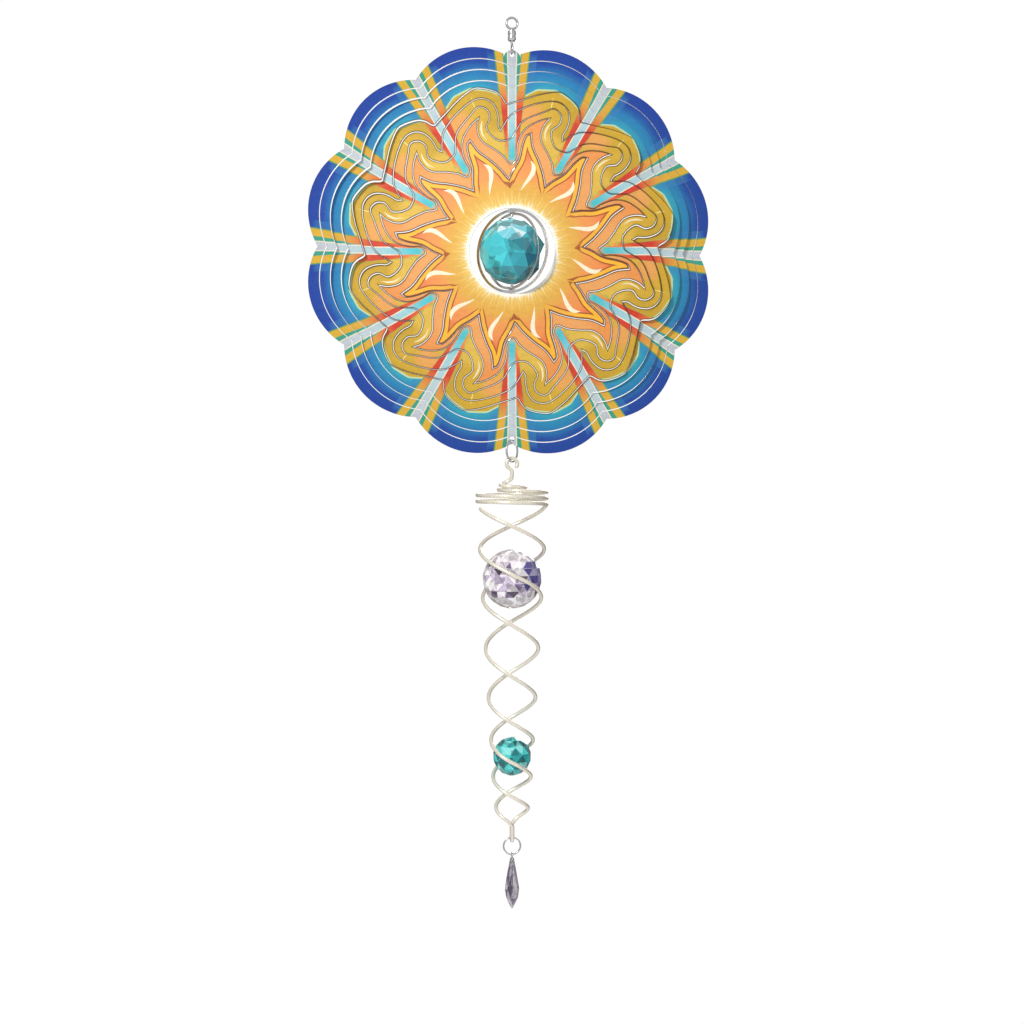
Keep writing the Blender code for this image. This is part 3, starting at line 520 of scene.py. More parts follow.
BLUES = table((0.0, 20, 66, 160), (11.0, 24, 76, 166), (14.0, 30, 110, 178), (19.0, 34, 134, 188),
              (24.0, 38, 148, 188), (29.0, 48, 172, 194), (36.0, 56, 180, 196))
BANDS = table((70.0, 238, 150, 64), (80.0, 232, 116, 48), (94.0, 218, 66, 36), (106.0, 216, 62, 36),
              (113.0, 230, 118, 58), (120.0, 232, 152, 70), (128.0, 234, 182, 62), (150.0, 230, 184, 54))
RAY_COLOURS = table((65.0, 240, 170, 70), (69.0, 70, 200, 205), (76.0, 80, 200, 212), (92.0, 160, 214, 222),
                    (112.0, 190, 216, 224), (135.0, 206, 218, 224), (155.0, 196, 192, 206))
# centre ball teals: a painted lit and a painted shaded teal, then the pale teals of its painted highlight
LIT_AND_SHADED_TEALS = (srgb(18, 112, 140), srgb(74, 214, 222))
HIGHLIGHT_TEALS = (srgb(120, 206, 220), srgb(214, 238, 242))
AQUAS = [srgb(*c) for c in ((8, 120, 124), (20, 160, 164), (40, 196, 200), (78, 222, 220), (140, 236, 232))]
LILACS = [srgb(*c) for c in ((255, 253, 255), (250, 244, 250), (236, 226, 238), (206, 194, 218),
                             (140, 124, 160), (84, 70, 96))]
VIOLETS = [srgb(*c) for c in ((150, 146, 214), (112, 106, 186), (196, 192, 232), (92, 84, 160))]
SMOKES = [srgb(*c) for c in ((226, 222, 230), (176, 168, 186), (136, 124, 148), (104, 92, 118),
                             (206, 200, 214))]


def ramp(rows, place):
    """Colours read from a table of (place, colour)."""
    places = [p for p, _ in rows]
    return np.stack([np.interp(place, places, [c[i] for _, c in rows]) for i in range(3)], axis=1)


def between(first, second, share):
    """Mix of two colours or rows of colours."""
    share = np.clip(share, 0, 1)[:, None]
    return np.asarray(first) * (1 - share) + np.asarray(second) * share


def ease(low, high, value):
    """0 below low, 1 above high, smooth between."""
    t = np.clip((value - low) / (high - low), 0, 1)
    return t * t * (3 - 2 * t)


def lay(colours, where, fresh):
    """Lay a colour, or one per row, over the chosen rows."""
    colours[where] = np.broadcast_to(fresh, colours.shape)[where]


class Places:
    """Polar measures of points in the disc's plane (mm)."""

    def __init__(self, points):
        self.points = points
        self.radius = np.linalg.norm(points, axis=1)
        self.angle = np.degrees(np.arctan2(points[:, 1], points[:, 0])) % 360
        self.past = self.angle % 30
        nearest = np.round(self.angle / 30) * 30
        away = np.radians(self.angle - nearest)
        self.across = np.abs(self.radius * np.sin(away))
        self.along = self.radius * np.cos(away)


def petal_colours(at, where, ring, rim):
    """Colours of the petal rings: at has the places for the shading, where those that choose the region."""
    depth = distance_to(at.points, rim)
    innermost = ring == "petal_ring_8"
    colours = ramp(BLUES, depth)
    # painted light: the blues turn brighter and bluer towards the upper left, the side the key light comes
    # from
    painted_light_upper_left = ease(-60, 60, -at.points[:, 0] + at.points[:, 1]) * 0.25
    colours = between(colours, colours * np.array((1.05, 0.92, 1.35)), painted_light_upper_left)
    if innermost:
        inner = within = np.ones(len(depth), bool)
        colours = between(*INNER_WARM, ease(96, 74, at.radius))
    else:
        inner = where.radius < outline_radius(where.past) + OUTLINE_HALF
        within = where.radius < outline_radius(where.past) - OUTLINE_HALF
        warm = between(OLIVE_GOLD, YELLOW, ease(5, 16, at.past))
        peach = ease(16, 20, at.past) * ease(92, 100, at.radius) * (1 - ease(108, 113, at.radius))
        warm = between(warm, PEACH, peach * 0.85)
        warm = between(warm, STRAW, ease(96, 88, at.radius) * 0.5)
        lay(colours, inner, PALE_LINE)
        lay(colours, within, warm)
    beside_green = where.across < green_outer(where.along)
    side_band = ~inner & (where.across < side_outer(where.along)) & (depth > 3.0)
    lay(colours, side_band, between(colours, SIDE, np.full(len(depth), 0.45)))
    lay(colours, ~within & beside_green, GREEN)
    if not innermost:
        lay(colours, within & beside_green, between(colours, MOSS, np.full(len(depth), 0.55)))
    in_band = (where.across < band_outer(where.along)) & (where.along > RAY_TIP - 4)
    band = ramp(BANDS, at.radius)
    lay(colours, in_band, between(band, ORANGE, ease(84, 74, at.radius)))
    near = in_band & (where.across < band_inner(where.along)) & (where.along > TEAL_START)
    lay(colours, near, between(TEAL_GREEN, SEA_GREEN, ease(118, 142, at.radius)))
    border = (where.across < border_half(where.along)) & (where.along > RAY_TIP - RAY_BORDER)
    lay(colours, border, between(band, CREAM, ease(78, 94, at.radius)))
    ray = (where.across < stripe_half(where.along)) & (where.along > RAY_TIP)
    lay(colours, ray, ramp(RAY_COLOURS, at.radius))
    strokes = [(CURL_LIGHT, LIGHT_CREAM)] + ([] if innermost else [(SPARK, SPARK_YELLOW)])
    for stroke, paint in strokes:
        for sector in range(LOBES):
            lay(colours, inside(where.points, ribbon(stroke, sector)), paint)
    return colours


def sun_colours(at, where, flame):
    """Colours of the sun plate: flames with a gold edge, round a white centre with thin rays."""
    edge = distance_to(where.points, flame)
    reach = at.radius
    colours = between(SUN_GOLD, SUN_ORANGE, ease(46, 60, reach))
    colours = between(colours, DEEP_ORANGE, ease(62, 80, reach))
    colours = between(SUN_INNER, colours, ease(34, 46, reach))
    lay(colours, edge < CONTOUR[2], BROWN)
    lay(colours, edge < CONTOUR[1], between(FLAME_GOLD, CONTOUR_INNER, ease(70, 56, reach)))
    lay(colours, edge < CONTOUR[0], BROWN)
    for sector in range(LOBES):
        lay(colours, inside(where.points, ribbon(COMMA, sector)), COMMA_CREAM)
    turned = where.angle * SUN_RAYS / 360
    index = np.round(turned).astype(int)
    tip = SUN_RAY_END - SUN_RAY_STEP * (index % 2)
    half = np.clip((tip - where.radius) / (tip - GLOW), 0, 1) * SUN_RAY_HALF
    on_ray = np.abs(turned - index) * 360 / SUN_RAYS < half
    lay(colours, on_ray, between(*THIN_RAY, ease(GLOW, SUN_RAY_END, reach)))
    lay(colours, where.radius < GLOW + GLOW_FADE,
        between(WHITE, colours, ease(GLOW - 1, GLOW + GLOW_FADE, reach)))
    return colours


# ---- rings --------------------------------------------------------------------------------
def triangles(loops, extra_lines, extra_points):
    """Triangles that fill the first loop outside the other loops, split along the extra lines."""
    points = []
    edges = []

    def add(line, closed):
        start = len(points)
        points.extend(line)
        edges.extend((start + i, start + i + 1) for i in range(len(line) - 1))
        if closed:
            edges.append((start + len(line) - 1, start))

    for loop in loops:
        add(list(loop), True)
    for line, closed in extra_lines:
        add(list(line), closed)
    points.extend(extra_points)
    verts, _, faces, _, _, _ = delaunay_2d_cdt([Vector(p) for p in points], edges, [], 0, 1e-4)
    verts = np.array([(v.x, v.y) for v in verts])
    faces = np.array([f for f in faces if len(f) == 3])
    middle = verts[faces].mean(axis=1)
    keep = inside(middle, loops[0])
    for hole in loops[1:]:
        keep &= ~inside(middle, hole)
    return verts, faces[keep], middle[keep]


def sheet_piece(name, loops, extra_lines, extra_points, colour_of, materials, angle):
    """A flat ring in the disc's plane with chamfered cut edges; corner colours carry the print and any
    painted light and shade.
    """
    inner_loops = [moved_out(loops[0], -CHAMFER)] + [moved_out(loop, CHAMFER) for loop in loops[1:]]
    verts, faces, middle = triangles(inner_loops, extra_lines, extra_points)
    colours = colour_of(Places(verts[faces].reshape(-1, 2)), Places(np.repeat(middle, 3, axis=0)))
    used = np.unique(faces)
    renumber = np.full(len(verts), -1)
    renumber[used] = np.arange(len(used))
    flat = verts[used]
    faces = renumber[faces]
    signed = np.cross(flat[faces[:, 1]] - flat[faces[:, 0]], flat[faces[:, 2]] - flat[faces[:, 0]])
    faces[signed < 0] = faces[signed < 0][:, ::-1]
    colours = colours.reshape(-1, 3, 3)
    colours[signed < 0] = colours[signed < 0][:, ::-1]
    half = SHEET / 2
    count = len(flat)
    front = np.column_stack((flat[:, 0], np.full(count, -half), flat[:, 1]))
    back = np.column_stack((flat[:, 0], np.full(count, half), flat[:, 1]))
    edges = {(u, v): None for a, b, c in faces for u, v in ((a, b), (b, c), (c, a))}
    border = [edge for edge in edges if edge[::-1] not in edges]
    rim_ids = sorted({u for u, _ in border})
    following = dict(border)
    before = {v: u for u, v in border}
    shifted = {}
    for u in rim_ids:
        a = flat[u] - flat[before[u]]
        b = flat[following[u]] - flat[u]
        a /= max(np.linalg.norm(a), 1e-9)
        b /= max(np.linalg.norm(b), 1e-9)
        normal = np.array((a[1] + b[1], -a[0] - b[0]))
        length = max(np.linalg.norm(normal), 0.5)
        shifted[u] = flat[u] + normal / length * CHAMFER * min(MITRE, 2 / length)
    base = 2 * count
    place = {u: i for i, u in enumerate(rim_ids)}
    outer = np.array([shifted[u] for u in rim_ids])
    wall = half - CHAMFER
    outer_front = np.column_stack((outer[:, 0], np.full(len(outer), -wall), outer[:, 1]))
    outer_back = np.column_stack((outer[:, 0], np.full(len(outer), wall), outer[:, 1]))
    all_verts = np.concatenate((front, back, outer_front, outer_back)) * MM
    polys = [tuple(f) for f in faces.tolist()]
    polys += [tuple(count + i for i in reversed(f)) for f in faces.tolist()]
    walls = []
    ring_count = len(rim_ids)
    for u, v in border:
        fu, fv = base + place[u], base + place[v]
        bu, bv = fu + ring_count, fv + ring_count
        walls += [(v, u, fu, fv), (fv, fu, bu, bv), (bv, bu, count + u, count + v)]
    mesh = bpy.data.meshes.new(name)
    mesh.from_pydata(all_verts.tolist(), [], polys + walls)
    mesh.materials.append(materials[0])
    mesh.materials.append(materials[1])
    index = np.zeros(len(polys) + len(walls), np.int32)
    index[len(polys):] = 1
    mesh.polygons.foreach_set("material_index", index)
    paint = mesh.color_attributes.new("print", "FLOAT_COLOR", "CORNER")
    corner = np.ones((len(polys) * 3 + len(walls) * 4, 4), np.float32)
    shades = colours.reshape(-1, 3)
    flipped = colours[:, ::-1].reshape(-1, 3)
    corner[:len(shades), :3] = shades
    corner[len(shades):2 * len(shades), :3] = flipped
    corner[2 * len(shades):, :3] = WALL_PRINT
    paint.data.foreach_set("color", corner.ravel())
    mesh.validate()
    mesh.update()
    return place_piece(name, mesh, (0, 0, DISC_Z), angle)


def place_piece(name, mesh, location=(0, 0, 0), angle=0.0):
    """Link a mesh at a place, turned about the vertical axis."""
    piece = bpy.data.objects.new(name, mesh)
    bpy.context.scene.collection.objects.link(piece)
    piece.location = location
    piece.rotation_euler = (0, 0, angle)
    return piece


def stands_for(piece, body, nodes):
    """Let a piece ride on a body and stand for CAD nodes."""
    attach(piece, body)
    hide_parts(*nodes)


def fan_angle(node):
    """Turn of a flat ring about the vertical axis, from its CAD mesh."""
    co = np.array([v.co for v in frame["nodes"][node].data.vertices])
    return math.atan2((co[:, 0] * co[:, 1]).sum(), (co[:, 0] ** 2).sum())


def with_painted_slot_shade(colour_of, edges):
    """The same colours with painted shade, a darker margin, along the shaped cuts."""
    def colours(at, where):
        result = colour_of(at, where)
        for edge in edges:
            result[distance_to(where.points, edge) < PAINTED_SHADE_WIDTH] *= EDGE_SHADE
        return result
    return colours


def make_sheet(paint, cut_edge, dark_edge):
    """All the nested rings of the sheet."""
    rim = rim_with_tab()
    lobes = lobed(*RIM, 24)
    lines = slot_lines()
    flame = lines[-1]
    widths = [SLOT] * len(PLAIN_SLOTS) + [FINE_SLOT] * len(SHAPED_SLOTS)
    outers = [rim] + [moved_out(line, -width / 2, -HAIRLINE / 2) for line, width in zip(lines, widths)]
    inners = [moved_out(line, width / 2, HAIRLINE / 2) for line, width in zip(lines, widths)]
    inners += [moved_out(inner_slot_lines()[0], INNER_SLOT / 2, HAIRLINE / 2)]
    holes = [circle(TAB_HOLE, 24, (0, RIM[1] + TAB_RISE - TAB_HOLE_EDGE - TAB_HOLE)),
             circle(TAIL_HOLE, 24, (0, -RIM[1] + TAIL_HOLE_EDGE + TAIL_HOLE))]
    art = print_lines(flame)
    art_box = [(line, closed, np.linalg.norm(line, axis=1).min(), np.linalg.norm(line, axis=1).max())
               for line, closed in art]
    grid = grid_points()
    for index, name in enumerate(RINGS):
        loops = [outers[index], inners[index]] + (holes if index == 0 else [])
        low = np.linalg.norm(loops[1], axis=1).min() - 1
        high = np.linalg.norm(loops[0], axis=1).max() + 1
        local_art = [(line, closed) for line, closed, near, far in art_box if near < high and far > low]
        local_grid = grid[(np.linalg.norm(grid, axis=1) > low) & (np.linalg.norm(grid, axis=1) < high)]
        if name == "sun_plate":
            def colour_of(at, where):
                return sun_colours(at, where, flame)
        else:
            def colour_of(at, where, ring=name):
                return petal_colours(at, where, ring, lobes)
        # painted shade: a darker margin along the shaped slots stands for the shadows the rings cast into
        # them
        shaded = [loops[1]] if 3 <= index < len(RINGS) - 1 else []
        local_art += [(moved_out(edge, PAINTED_SHADE_WIDTH), True) for edge in shaded]
        if index > 3:
            shaded = shaded + [loops[0]]
            local_art.append((moved_out(loops[0], -PAINTED_SHADE_WIDTH), True))
        # rings past the fourth get the dark walls, painted shade in their cuts
        piece = sheet_piece(name + "_sheet", loops, local_art, list(local_grid), with_painted_slot_shade(colour_of, shaded),
                            (paint, dark_edge if index > 3 else cut_edge), fan_angle(name))
        stands_for(piece, name, [name])


def slot_height(line, x, side):
    """Height where a closed line crosses the vertical line at x, above (side 1) or below."""
    for start, end in zip(line, np.roll(line, -1, axis=0)):
        if (start[0] - x) * (end[0] - x) <= 0 and start[0] != end[0] and start[1] * side > 0:
            return start[1] + (end[1] - start[1]) * (x - start[0]) / (end[0] - start[0])
    return None


def make_bridge(name, line, side, rings, half_width, material):
    """Narrow twisted strip that joins two neighbouring rings across their slot."""
    angles = [fan_angle(ring) for ring in rings]
    across = np.linspace(-half_width, half_width, 9)
    reach = BRIDGE_HOLD + HAIRLINE / 2
    steps = np.array((-reach, -HAIRLINE / 2, -HAIRLINE / 6, HAIRLINE / 6, HAIRLINE / 2, reach))
    turn_share = (0, 0, 1 / 3, 2 / 3, 1, 1)
    verts = []
    for face in (-1, 1):
        for step, share in zip(steps, turn_share):
            angle = angles[0] + (angles[1] - angles[0]) * share
            for x in across:
                height = slot_height(line, x, side) - side * step
                y = face * SHEET * BRIDGE_THIN / 2
                verts.append(((x * math.cos(angle) - y * math.sin(angle)) * MM,
                              (x * math.sin(angle) + y * math.cos(angle)) * MM, DISC_Z + height * MM))
    columns = len(across)
    rows = len(steps)
    shift = columns * rows
    faces = []
    for base in (0, shift):
        for row in range(rows - 1):
            for column in range(columns - 1):
                a = base + row * columns + column
                quad = (a, a + 1, a + 1 + columns, a + columns)
                faces.append(quad[::-1] if base else quad)
    ring = (list(range(columns)) + [(r + 1) * columns - 1 for r in range(1, rows)]
            + [(rows - 1) * columns + i for i in range(columns - 2, -1, -1)]
            + [r * columns for r in range(rows - 2, 0, -1)])
    for a, b in zip(ring, ring[1:] + ring[:1]):
        faces.append((b, a, a + shift, b + shift))
    mesh = bpy.data.meshes.new(name)
    mesh.from_pydata(verts, [], faces)
    bm = bmesh.new()
    bm.from_mesh(mesh)
    bpy.data.meshes.remove(mesh)
    piece = place_piece(name, finish_mesh(bm, name, material, False))
    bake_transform(piece)


def make_inner_rings(bare, cut_edge):
    """The two bare rings round the ball, with notches for its pins in the inner one."""
    hole, gap = inner_slot_lines()
    notched = pin_notched(circle(INNERMOST, 181))
    edges = ((moved_out(hole, -INNER_SLOT / 2, -HAIRLINE / 2), moved_out(gap, INNER_SLOT / 2, HAIRLINE / 2)),
             (moved_out(gap, -INNER_SLOT / 2, -HAIRLINE / 2), notched))
    for name, (outer, inner) in zip(INNER_RINGS, edges):
        piece = sheet_piece(name + "_sheet", [outer, inner], [], [], plain_white, (bare, cut_edge),
                            fan_angle(name))
        stands_for(piece, name, [name])


def plain_white(at, _where):
    """No print."""
    return np.ones((len(at.radius), 3))


def pin_notched(outline):
    """Circle with a square notch at top and bottom for the ball's pins."""
    half = BALL_PIN + CLEAR
    deep = INNERMOST + INNER_RING_WIDTH / 2
    points = [p for p in outline if abs(p[0]) > half * 1.3]
    shaped_line = []
    for start, end in zip(points, points[1:] + points[:1]):
        shaped_line.append(start)
        if start[0] * end[0] < 0:
            side = 1 if start[1] > 0 else -1
            inner = math.sqrt(INNERMOST ** 2 - half ** 2)
            shaped_line += [np.array((side * half, side * inner)), np.array((side * half, side * deep)),
                            np.array((-side * half, side * deep)), np.array((-side * half, side * inner))]
    return np.array(shaped_line)


# ---- round pieces and wires ---------------------------------------------------------------
def finish_mesh(bm, name, material, smooth=True):
    """Mesh from a bmesh, normals out."""
    bmesh.ops.recalc_face_normals(bm, faces=bm.faces)
    mesh = bpy.data.meshes.new(name)
    bm.to_mesh(mesh)
    bm.free()
    mesh.materials.append(material)
    if smooth:
        mesh.shade_smooth()
        mesh.set_sharp_from_angle(angle=SHARP)
    return mesh


def turned(bm, profile, steps, height=0.0):
    """Add a solid of revolution about Z from (radius, height) points in mm."""
    rings = []
    for radius, level in profile:
        level = level * MM + height
        if radius < 1e-6:
            rings.append([bm.verts.new((0, 0, level))])
        else:
            turns = [math.tau * i / steps for i in range(steps)]
            rings.append([bm.verts.new((radius * MM * math.cos(a), radius * MM * math.sin(a), level))
                          for a in turns])
    pairs = list(zip(rings, rings[1:]))
    if profile[0][0] > 1e-6:
        pairs.append((rings[-1], rings[0]))
    for low, high in pairs:
        for i in range(steps):
            j = (i + 1) % steps
            corners = list(dict.fromkeys((low[i % len(low)], low[j % len(low)], high[j % len(high)],
                                          high[i % len(high)])))
            if len(corners) > 2:
                bm.faces.new(corners)


def rounded(profile, radius, steps=3):
    """Profile with its inner corners rounded off."""
    points = [np.array(p, float) for p in profile]
    result = [tuple(points[0])]
    for before, corner, after in zip(points, points[1:], points[2:]):
        to_before = before - corner
        to_after = after - corner
        reach = min(radius, np.linalg.norm(to_before) * 0.45, np.linalg.norm(to_after) * 0.45)
        first = corner + to_before / max(np.linalg.norm(to_before), 1e-9) * reach
        last = corner + to_after / max(np.linalg.norm(to_after), 1e-9) * reach
        for step in range(steps + 1):
            t = step / steps
            result.append(tuple(first * (1 - t) ** 2 + corner * 2 * t * (1 - t) + last * t ** 2))
    return result + [tuple(points[-1])]


def wire(bm, points, radius, sides, cyclic=False, dome=False):
    """Add a round wire along points (metres); its open ends are capped, domed if asked."""
    points = [Vector(p) for p in points]
    count = len(points)
    start = points[1] - points[0]
    normal = min((Vector((1, 0, 0)), Vector((0, 1, 0))), key=lambda axis: abs(axis.dot(start)))
    rings = []
    for index, point in enumerate(points):
        if cyclic:
            along = points[(index + 1) % count] - points[index - 1]
        else:
            along = points[min(index + 1, count - 1)] - points[max(index - 1, 0)]
        along.normalize()
        normal = (normal - along * normal.dot(along)).normalized()
        across = along.cross(normal)
        turns = [math.tau * side / sides for side in range(sides)]
        ends = [(1.0, 0.0)]
        if dome and index == 0:
            ends = [(math.sin(t), -math.cos(t)) for t in DOME]
        if dome and index == count - 1:
            ends = [(math.sin(t), math.cos(t)) for t in reversed(DOME)]
        for scale, shift in ends:
            rings.append([bm.verts.new(point + along * shift * radius
                                       + radius * scale * (normal * math.cos(a) + across * math.sin(a)))
                          for a in turns])
    pairs = list(zip(rings, rings[1:]))
    if cyclic:
        best = min(range(sides), key=lambda k: (rings[0][k].co - rings[-1][0].co).length)
        pairs.append((rings[-1], rings[0][best:] + rings[0][:best]))
    for low, high in pairs:
        for i in range(sides):
            j = (i + 1) % sides
            bm.faces.new((low[i], low[j], high[j], high[i]))
    if not cyclic:
        bm.faces.new(rings[0])
        bm.faces.new(list(reversed(rings[-1])))


def ring_of_wire(bm, radius, z, turn, steps, thickness, sides):
    """Add a wire ring in a vertical plane through the Z axis (sizes in mm, its height z in metres)."""
    points = []
    for step in range(steps):
        a = math.tau * step / steps
        side = radius * MM * math.sin(a)
        points.append((side * math.cos(turn), side * math.sin(turn), z + radius * MM * math.cos(a)))
    wire(bm, points, thickness * MM, sides, True)


def add_piece(bm, name, material, body, nodes):
    """Finish a bmesh as a piece that rides on a body and stands for CAD nodes."""
    stands_for(place_piece(name, finish_mesh(bm, name, material)), body, nodes)


def combined(piece, tool, operation):
    """Mesh of one piece joined to or cut by a second one, which is used up."""
    change = piece.modifiers.new("Combine", "BOOLEAN")
    change.operation = operation
    change.object = tool
    change.solver = "EXACT"
    bpy.context.view_layer.update()
    mesh = bpy.data.meshes.new_from_object(piece.evaluated_get(bpy.context.evaluated_depsgraph_get()))
    bpy.data.objects.remove(tool)
    piece.modifiers.clear()
    return mesh


def joined(first, second, name, material):
    """One closed piece from two overlapping ones."""
    piece, part = (place_piece(label, finish_mesh(bm, label, material, False))
                   for label, bm in ((name, first), (name + "_part", second)))
    piece.data = combined(piece, part, "UNION")
    piece.data.shade_smooth()
    piece.data.set_sharp_from_angle(angle=SHARP)
    piece.data.name = name
    return piece


# ---- hanger -------------------------------------------------------------------------------
def make_hanger(steel):
    """Swivel eye, barrel and pin with its loop."""
    eye_z = -(EYE_RADIUS - EYE_WIRE) * MM
    barrel_top = eye_z - (EYE_RADIUS + EYE_NECK) * MM
    barrel_bottom = JOINTS["spinner_spin"]["pos_m"][2]
    height = (barrel_top - barrel_bottom) / MM
    ring = bmesh.new()
    ring_of_wire(ring, EYE_RADIUS, eye_z, 0, 64, EYE_WIRE, 20)
    shank = bmesh.new()
    top = (eye_z - barrel_top) / MM - EYE_RADIUS + EYE_WIRE / 2
    turned(shank, rounded([(0, -EYE_SHANK_DEPTH), (EYE_SHANK, -EYE_SHANK_DEPTH),
                           (EYE_SHANK, top - EYE_WIRE), (EYE_WIRE, top), (0, top)], 0.35), 32, barrel_top)
    eye = joined(ring, shank, "swivel_eye_fine", steel)
    barrel = bmesh.new()
    bore = EYE_SHANK + CLEAR
    chamber = PIN_HEAD + CLEAR
    hole = PIN_STEM + CLEAR
    outer = chamber + BARREL_WALL
    ceiling = height - EYE_SHANK_DEPTH - CLEAR
    profile = [(bore, height), (outer - BARREL_BEVEL, height), (outer, height - BARREL_BEVEL),
               (outer, height * 0.62), (outer - BARREL_GROOVE, height * 0.58),
               (outer - BARREL_GROOVE, height * 0.42), (outer, height * 0.38), (outer, BARREL_BEVEL),
               (outer - BARREL_BEVEL, 0), (hole, 0), (hole, BARREL_FLOOR), (chamber, BARREL_FLOOR),
               (chamber, ceiling), (bore, ceiling)]
    turned(barrel, rounded(profile, 0.25), 48, barrel_bottom)
    loop_z = JOINTS["disc_swing"]["pos_m"][2] + LOOP_RADIUS * MM
    loop = bmesh.new()
    ring_of_wire(loop, LOOP_RADIUS, loop_z, math.pi / 2, 56, LOOP_WIRE, 16)
    stem = bmesh.new()
    stem_low = (loop_z - barrel_bottom) / MM + LOOP_RADIUS - LOOP_WIRE / 2
    head = BARREL_FLOOR + CLEAR
    turned(stem, rounded([(0, stem_low), (LOOP_WIRE, stem_low), (PIN_STEM, stem_low + LOOP_WIRE),
                          (PIN_STEM, head), (PIN_HEAD, head), (PIN_HEAD, head + PIN_HEAD_HEIGHT),
                          (0, head + PIN_HEAD_HEIGHT)], 0.2), 32, barrel_bottom)
    pin = joined(loop, stem, "swivel_pin_fine", steel)
    stands_for(eye, "hanger", ["swivel_eye"])
    stands_for(pin, "hanger_pin", ["swivel_pin"])
    add_piece(barrel, "swivel_barrel_fine", steel, "hanger", ["swivel_barrel"])


# ---- faceted glass ------------------------------------------------------------------------
def faceted(name, points, material, tint):
    """Cut glass from the hull of its corners, every facet with its own tint."""
    bm = bmesh.new()
    for point in points:
        bm.verts.new(point)
    bmesh.ops.convex_hull(bm, input=bm.verts)
    loose = [v for v in bm.verts if not v.link_faces]
    bmesh.ops.delete(bm, geom=loose, context="VERTS")
    bmesh.ops.dissolve_limit(bm, angle_limit=SAME_FACET, verts=bm.verts, edges=bm.edges)
    bmesh.ops.bevel(bm, geom=bm.edges, offset=GLASS_BEVEL, segments=1, affect="EDGES")
    mesh = finish_mesh(bm, name, material, False)
    paint = mesh.color_attributes.new("facet", "FLOAT_COLOR", "CORNER")
    values = np.ones((len(mesh.loops), 4), np.float32)
    for polygon in mesh.polygons:
        values[list(polygon.loop_indices), :3] = tint(polygon.normal)
    paint.data.foreach_set("color", values.ravel())
    return mesh


def ball_points(radius, rows, around, flat):
    """Corners of a cut ball: offset rows between two small flats."""
    points = []
    low = math.asin(flat / radius)
    for row in range(rows):
        angle = low + (math.pi - 2 * low) * row / (rows - 1)
        ring = radius * math.sin(angle)
        count = around if 0 < row < rows - 1 else around // 2
        for step in range(count):
            shift = 0.45 * (dice((row, step, 1), radius) - 0.5)
            turn = math.tau * (step + 0.5 * (row % 2) + shift) / count
            points.append((ring * math.cos(turn), ring * math.sin(turn), -radius * math.cos(angle)))
    return points


def dice(vector, seed):
    """Repeatable number from 0 to 1 for a direction."""
    value = math.sin(vector[0] * 127.1 + vector[1] * 311.7 + vector[2] * 74.7 + seed * 19.3) * 43758.5453
    return value - math.floor(value)


def picked(palette, share):
    """Colour from a palette by a number from 0 to 1."""
    return palette[min(int(share * len(palette)), len(palette) - 1)]


def star_points(radius):
    """Corners of the pale star on the centre ball: its middle and a ring round it."""
    points = [STAR * radius]
    for arm in range(STAR_ARMS):
        turn = math.tau * (arm + 0.5) / STAR_ARMS
        side = STAR_ACROSS * math.cos(turn) + STAR_UP * math.sin(turn)
        points.append((STAR * math.cos(STAR_REACH) + side * math.sin(STAR_REACH)) * radius)
    return points


def centre_tint(normal):
    """Cyan crystal: a pale star of painted highlight above the middle, lighter on the left and deeper on the
    right and below as painted light and shade.
    """
    share = dice(normal, 1)
    # painted highlight: the pale star
    if normal.dot(STAR) > math.cos(STAR_REACH * 0.8):
        arm = int(math.atan2(normal.dot(STAR_UP), normal.dot(STAR_ACROSS)) / math.tau * STAR_ARMS + STAR_ARMS)
        return HIGHLIGHT_TEALS[0] if arm % 2 else HIGHLIGHT_TEALS[1]
    # painted light and shade: lighter facing left, deeper facing right and down, with random tone
    deep = 0.45 + 0.55 * normal.x - 0.25 * normal.z + 0.5 * (share - 0.5)
    return tuple(float(c) for c in between(LIT_AND_SHADED_TEALS[-1], np.array([LIT_AND_SHADED_TEALS[0]]), np.array([deep]))[0])


def teal_tint(normal):
    """Small aqua ball: random aqua facets, some upward ones in the palest aqua as painted highlights."""
    # painted highlight: palest aqua on some upward facets
    if 0.35 < normal.z < 0.7 and dice(normal, 4) > 0.6:
        return AQUAS[-1]
    return picked(AQUAS, dice(normal, 2))


def clear_tint(normal):
    """Clear ball: white at top and bottom as painted light, smoky and violet facets round the middle."""
    share = dice(normal, 3)
    # painted light: white facets at top and bottom
    if abs(normal.z) > 0.55:
        return picked(LILACS[:3], share ** 2)
    if normal.x > 0.3 and normal.z > -0.3:
        return picked(VIOLETS + LILACS[:1], share)
    return picked(LILACS, share)


def drop_tint(normal):
    """Pendant: smoky facets with pale edges."""
    return picked(SMOKES, dice(normal, 7))


def drop_points(top, length, radius, neck):
    """Corners of the drop: a long eight-sided bud with a short point."""
    rows = ((0.0, 0.0, 0), (0.21, 0.5, 0), (0.38, 0.78, 0.5), (0.60, 1.0, 0), (0.76, 0.86, 0.5),
            (0.90, 0.40, 0))
    points = []
    for share, width, shift in rows:
        for step in range(DROP_SIDES):
            turn = math.tau * (step + shift) / DROP_SIDES
            reach = max(radius * width, neck)
            points.append((reach * math.cos(turn), reach * math.sin(turn), top - length * share))
    return points + [(0, 0, top - length)]


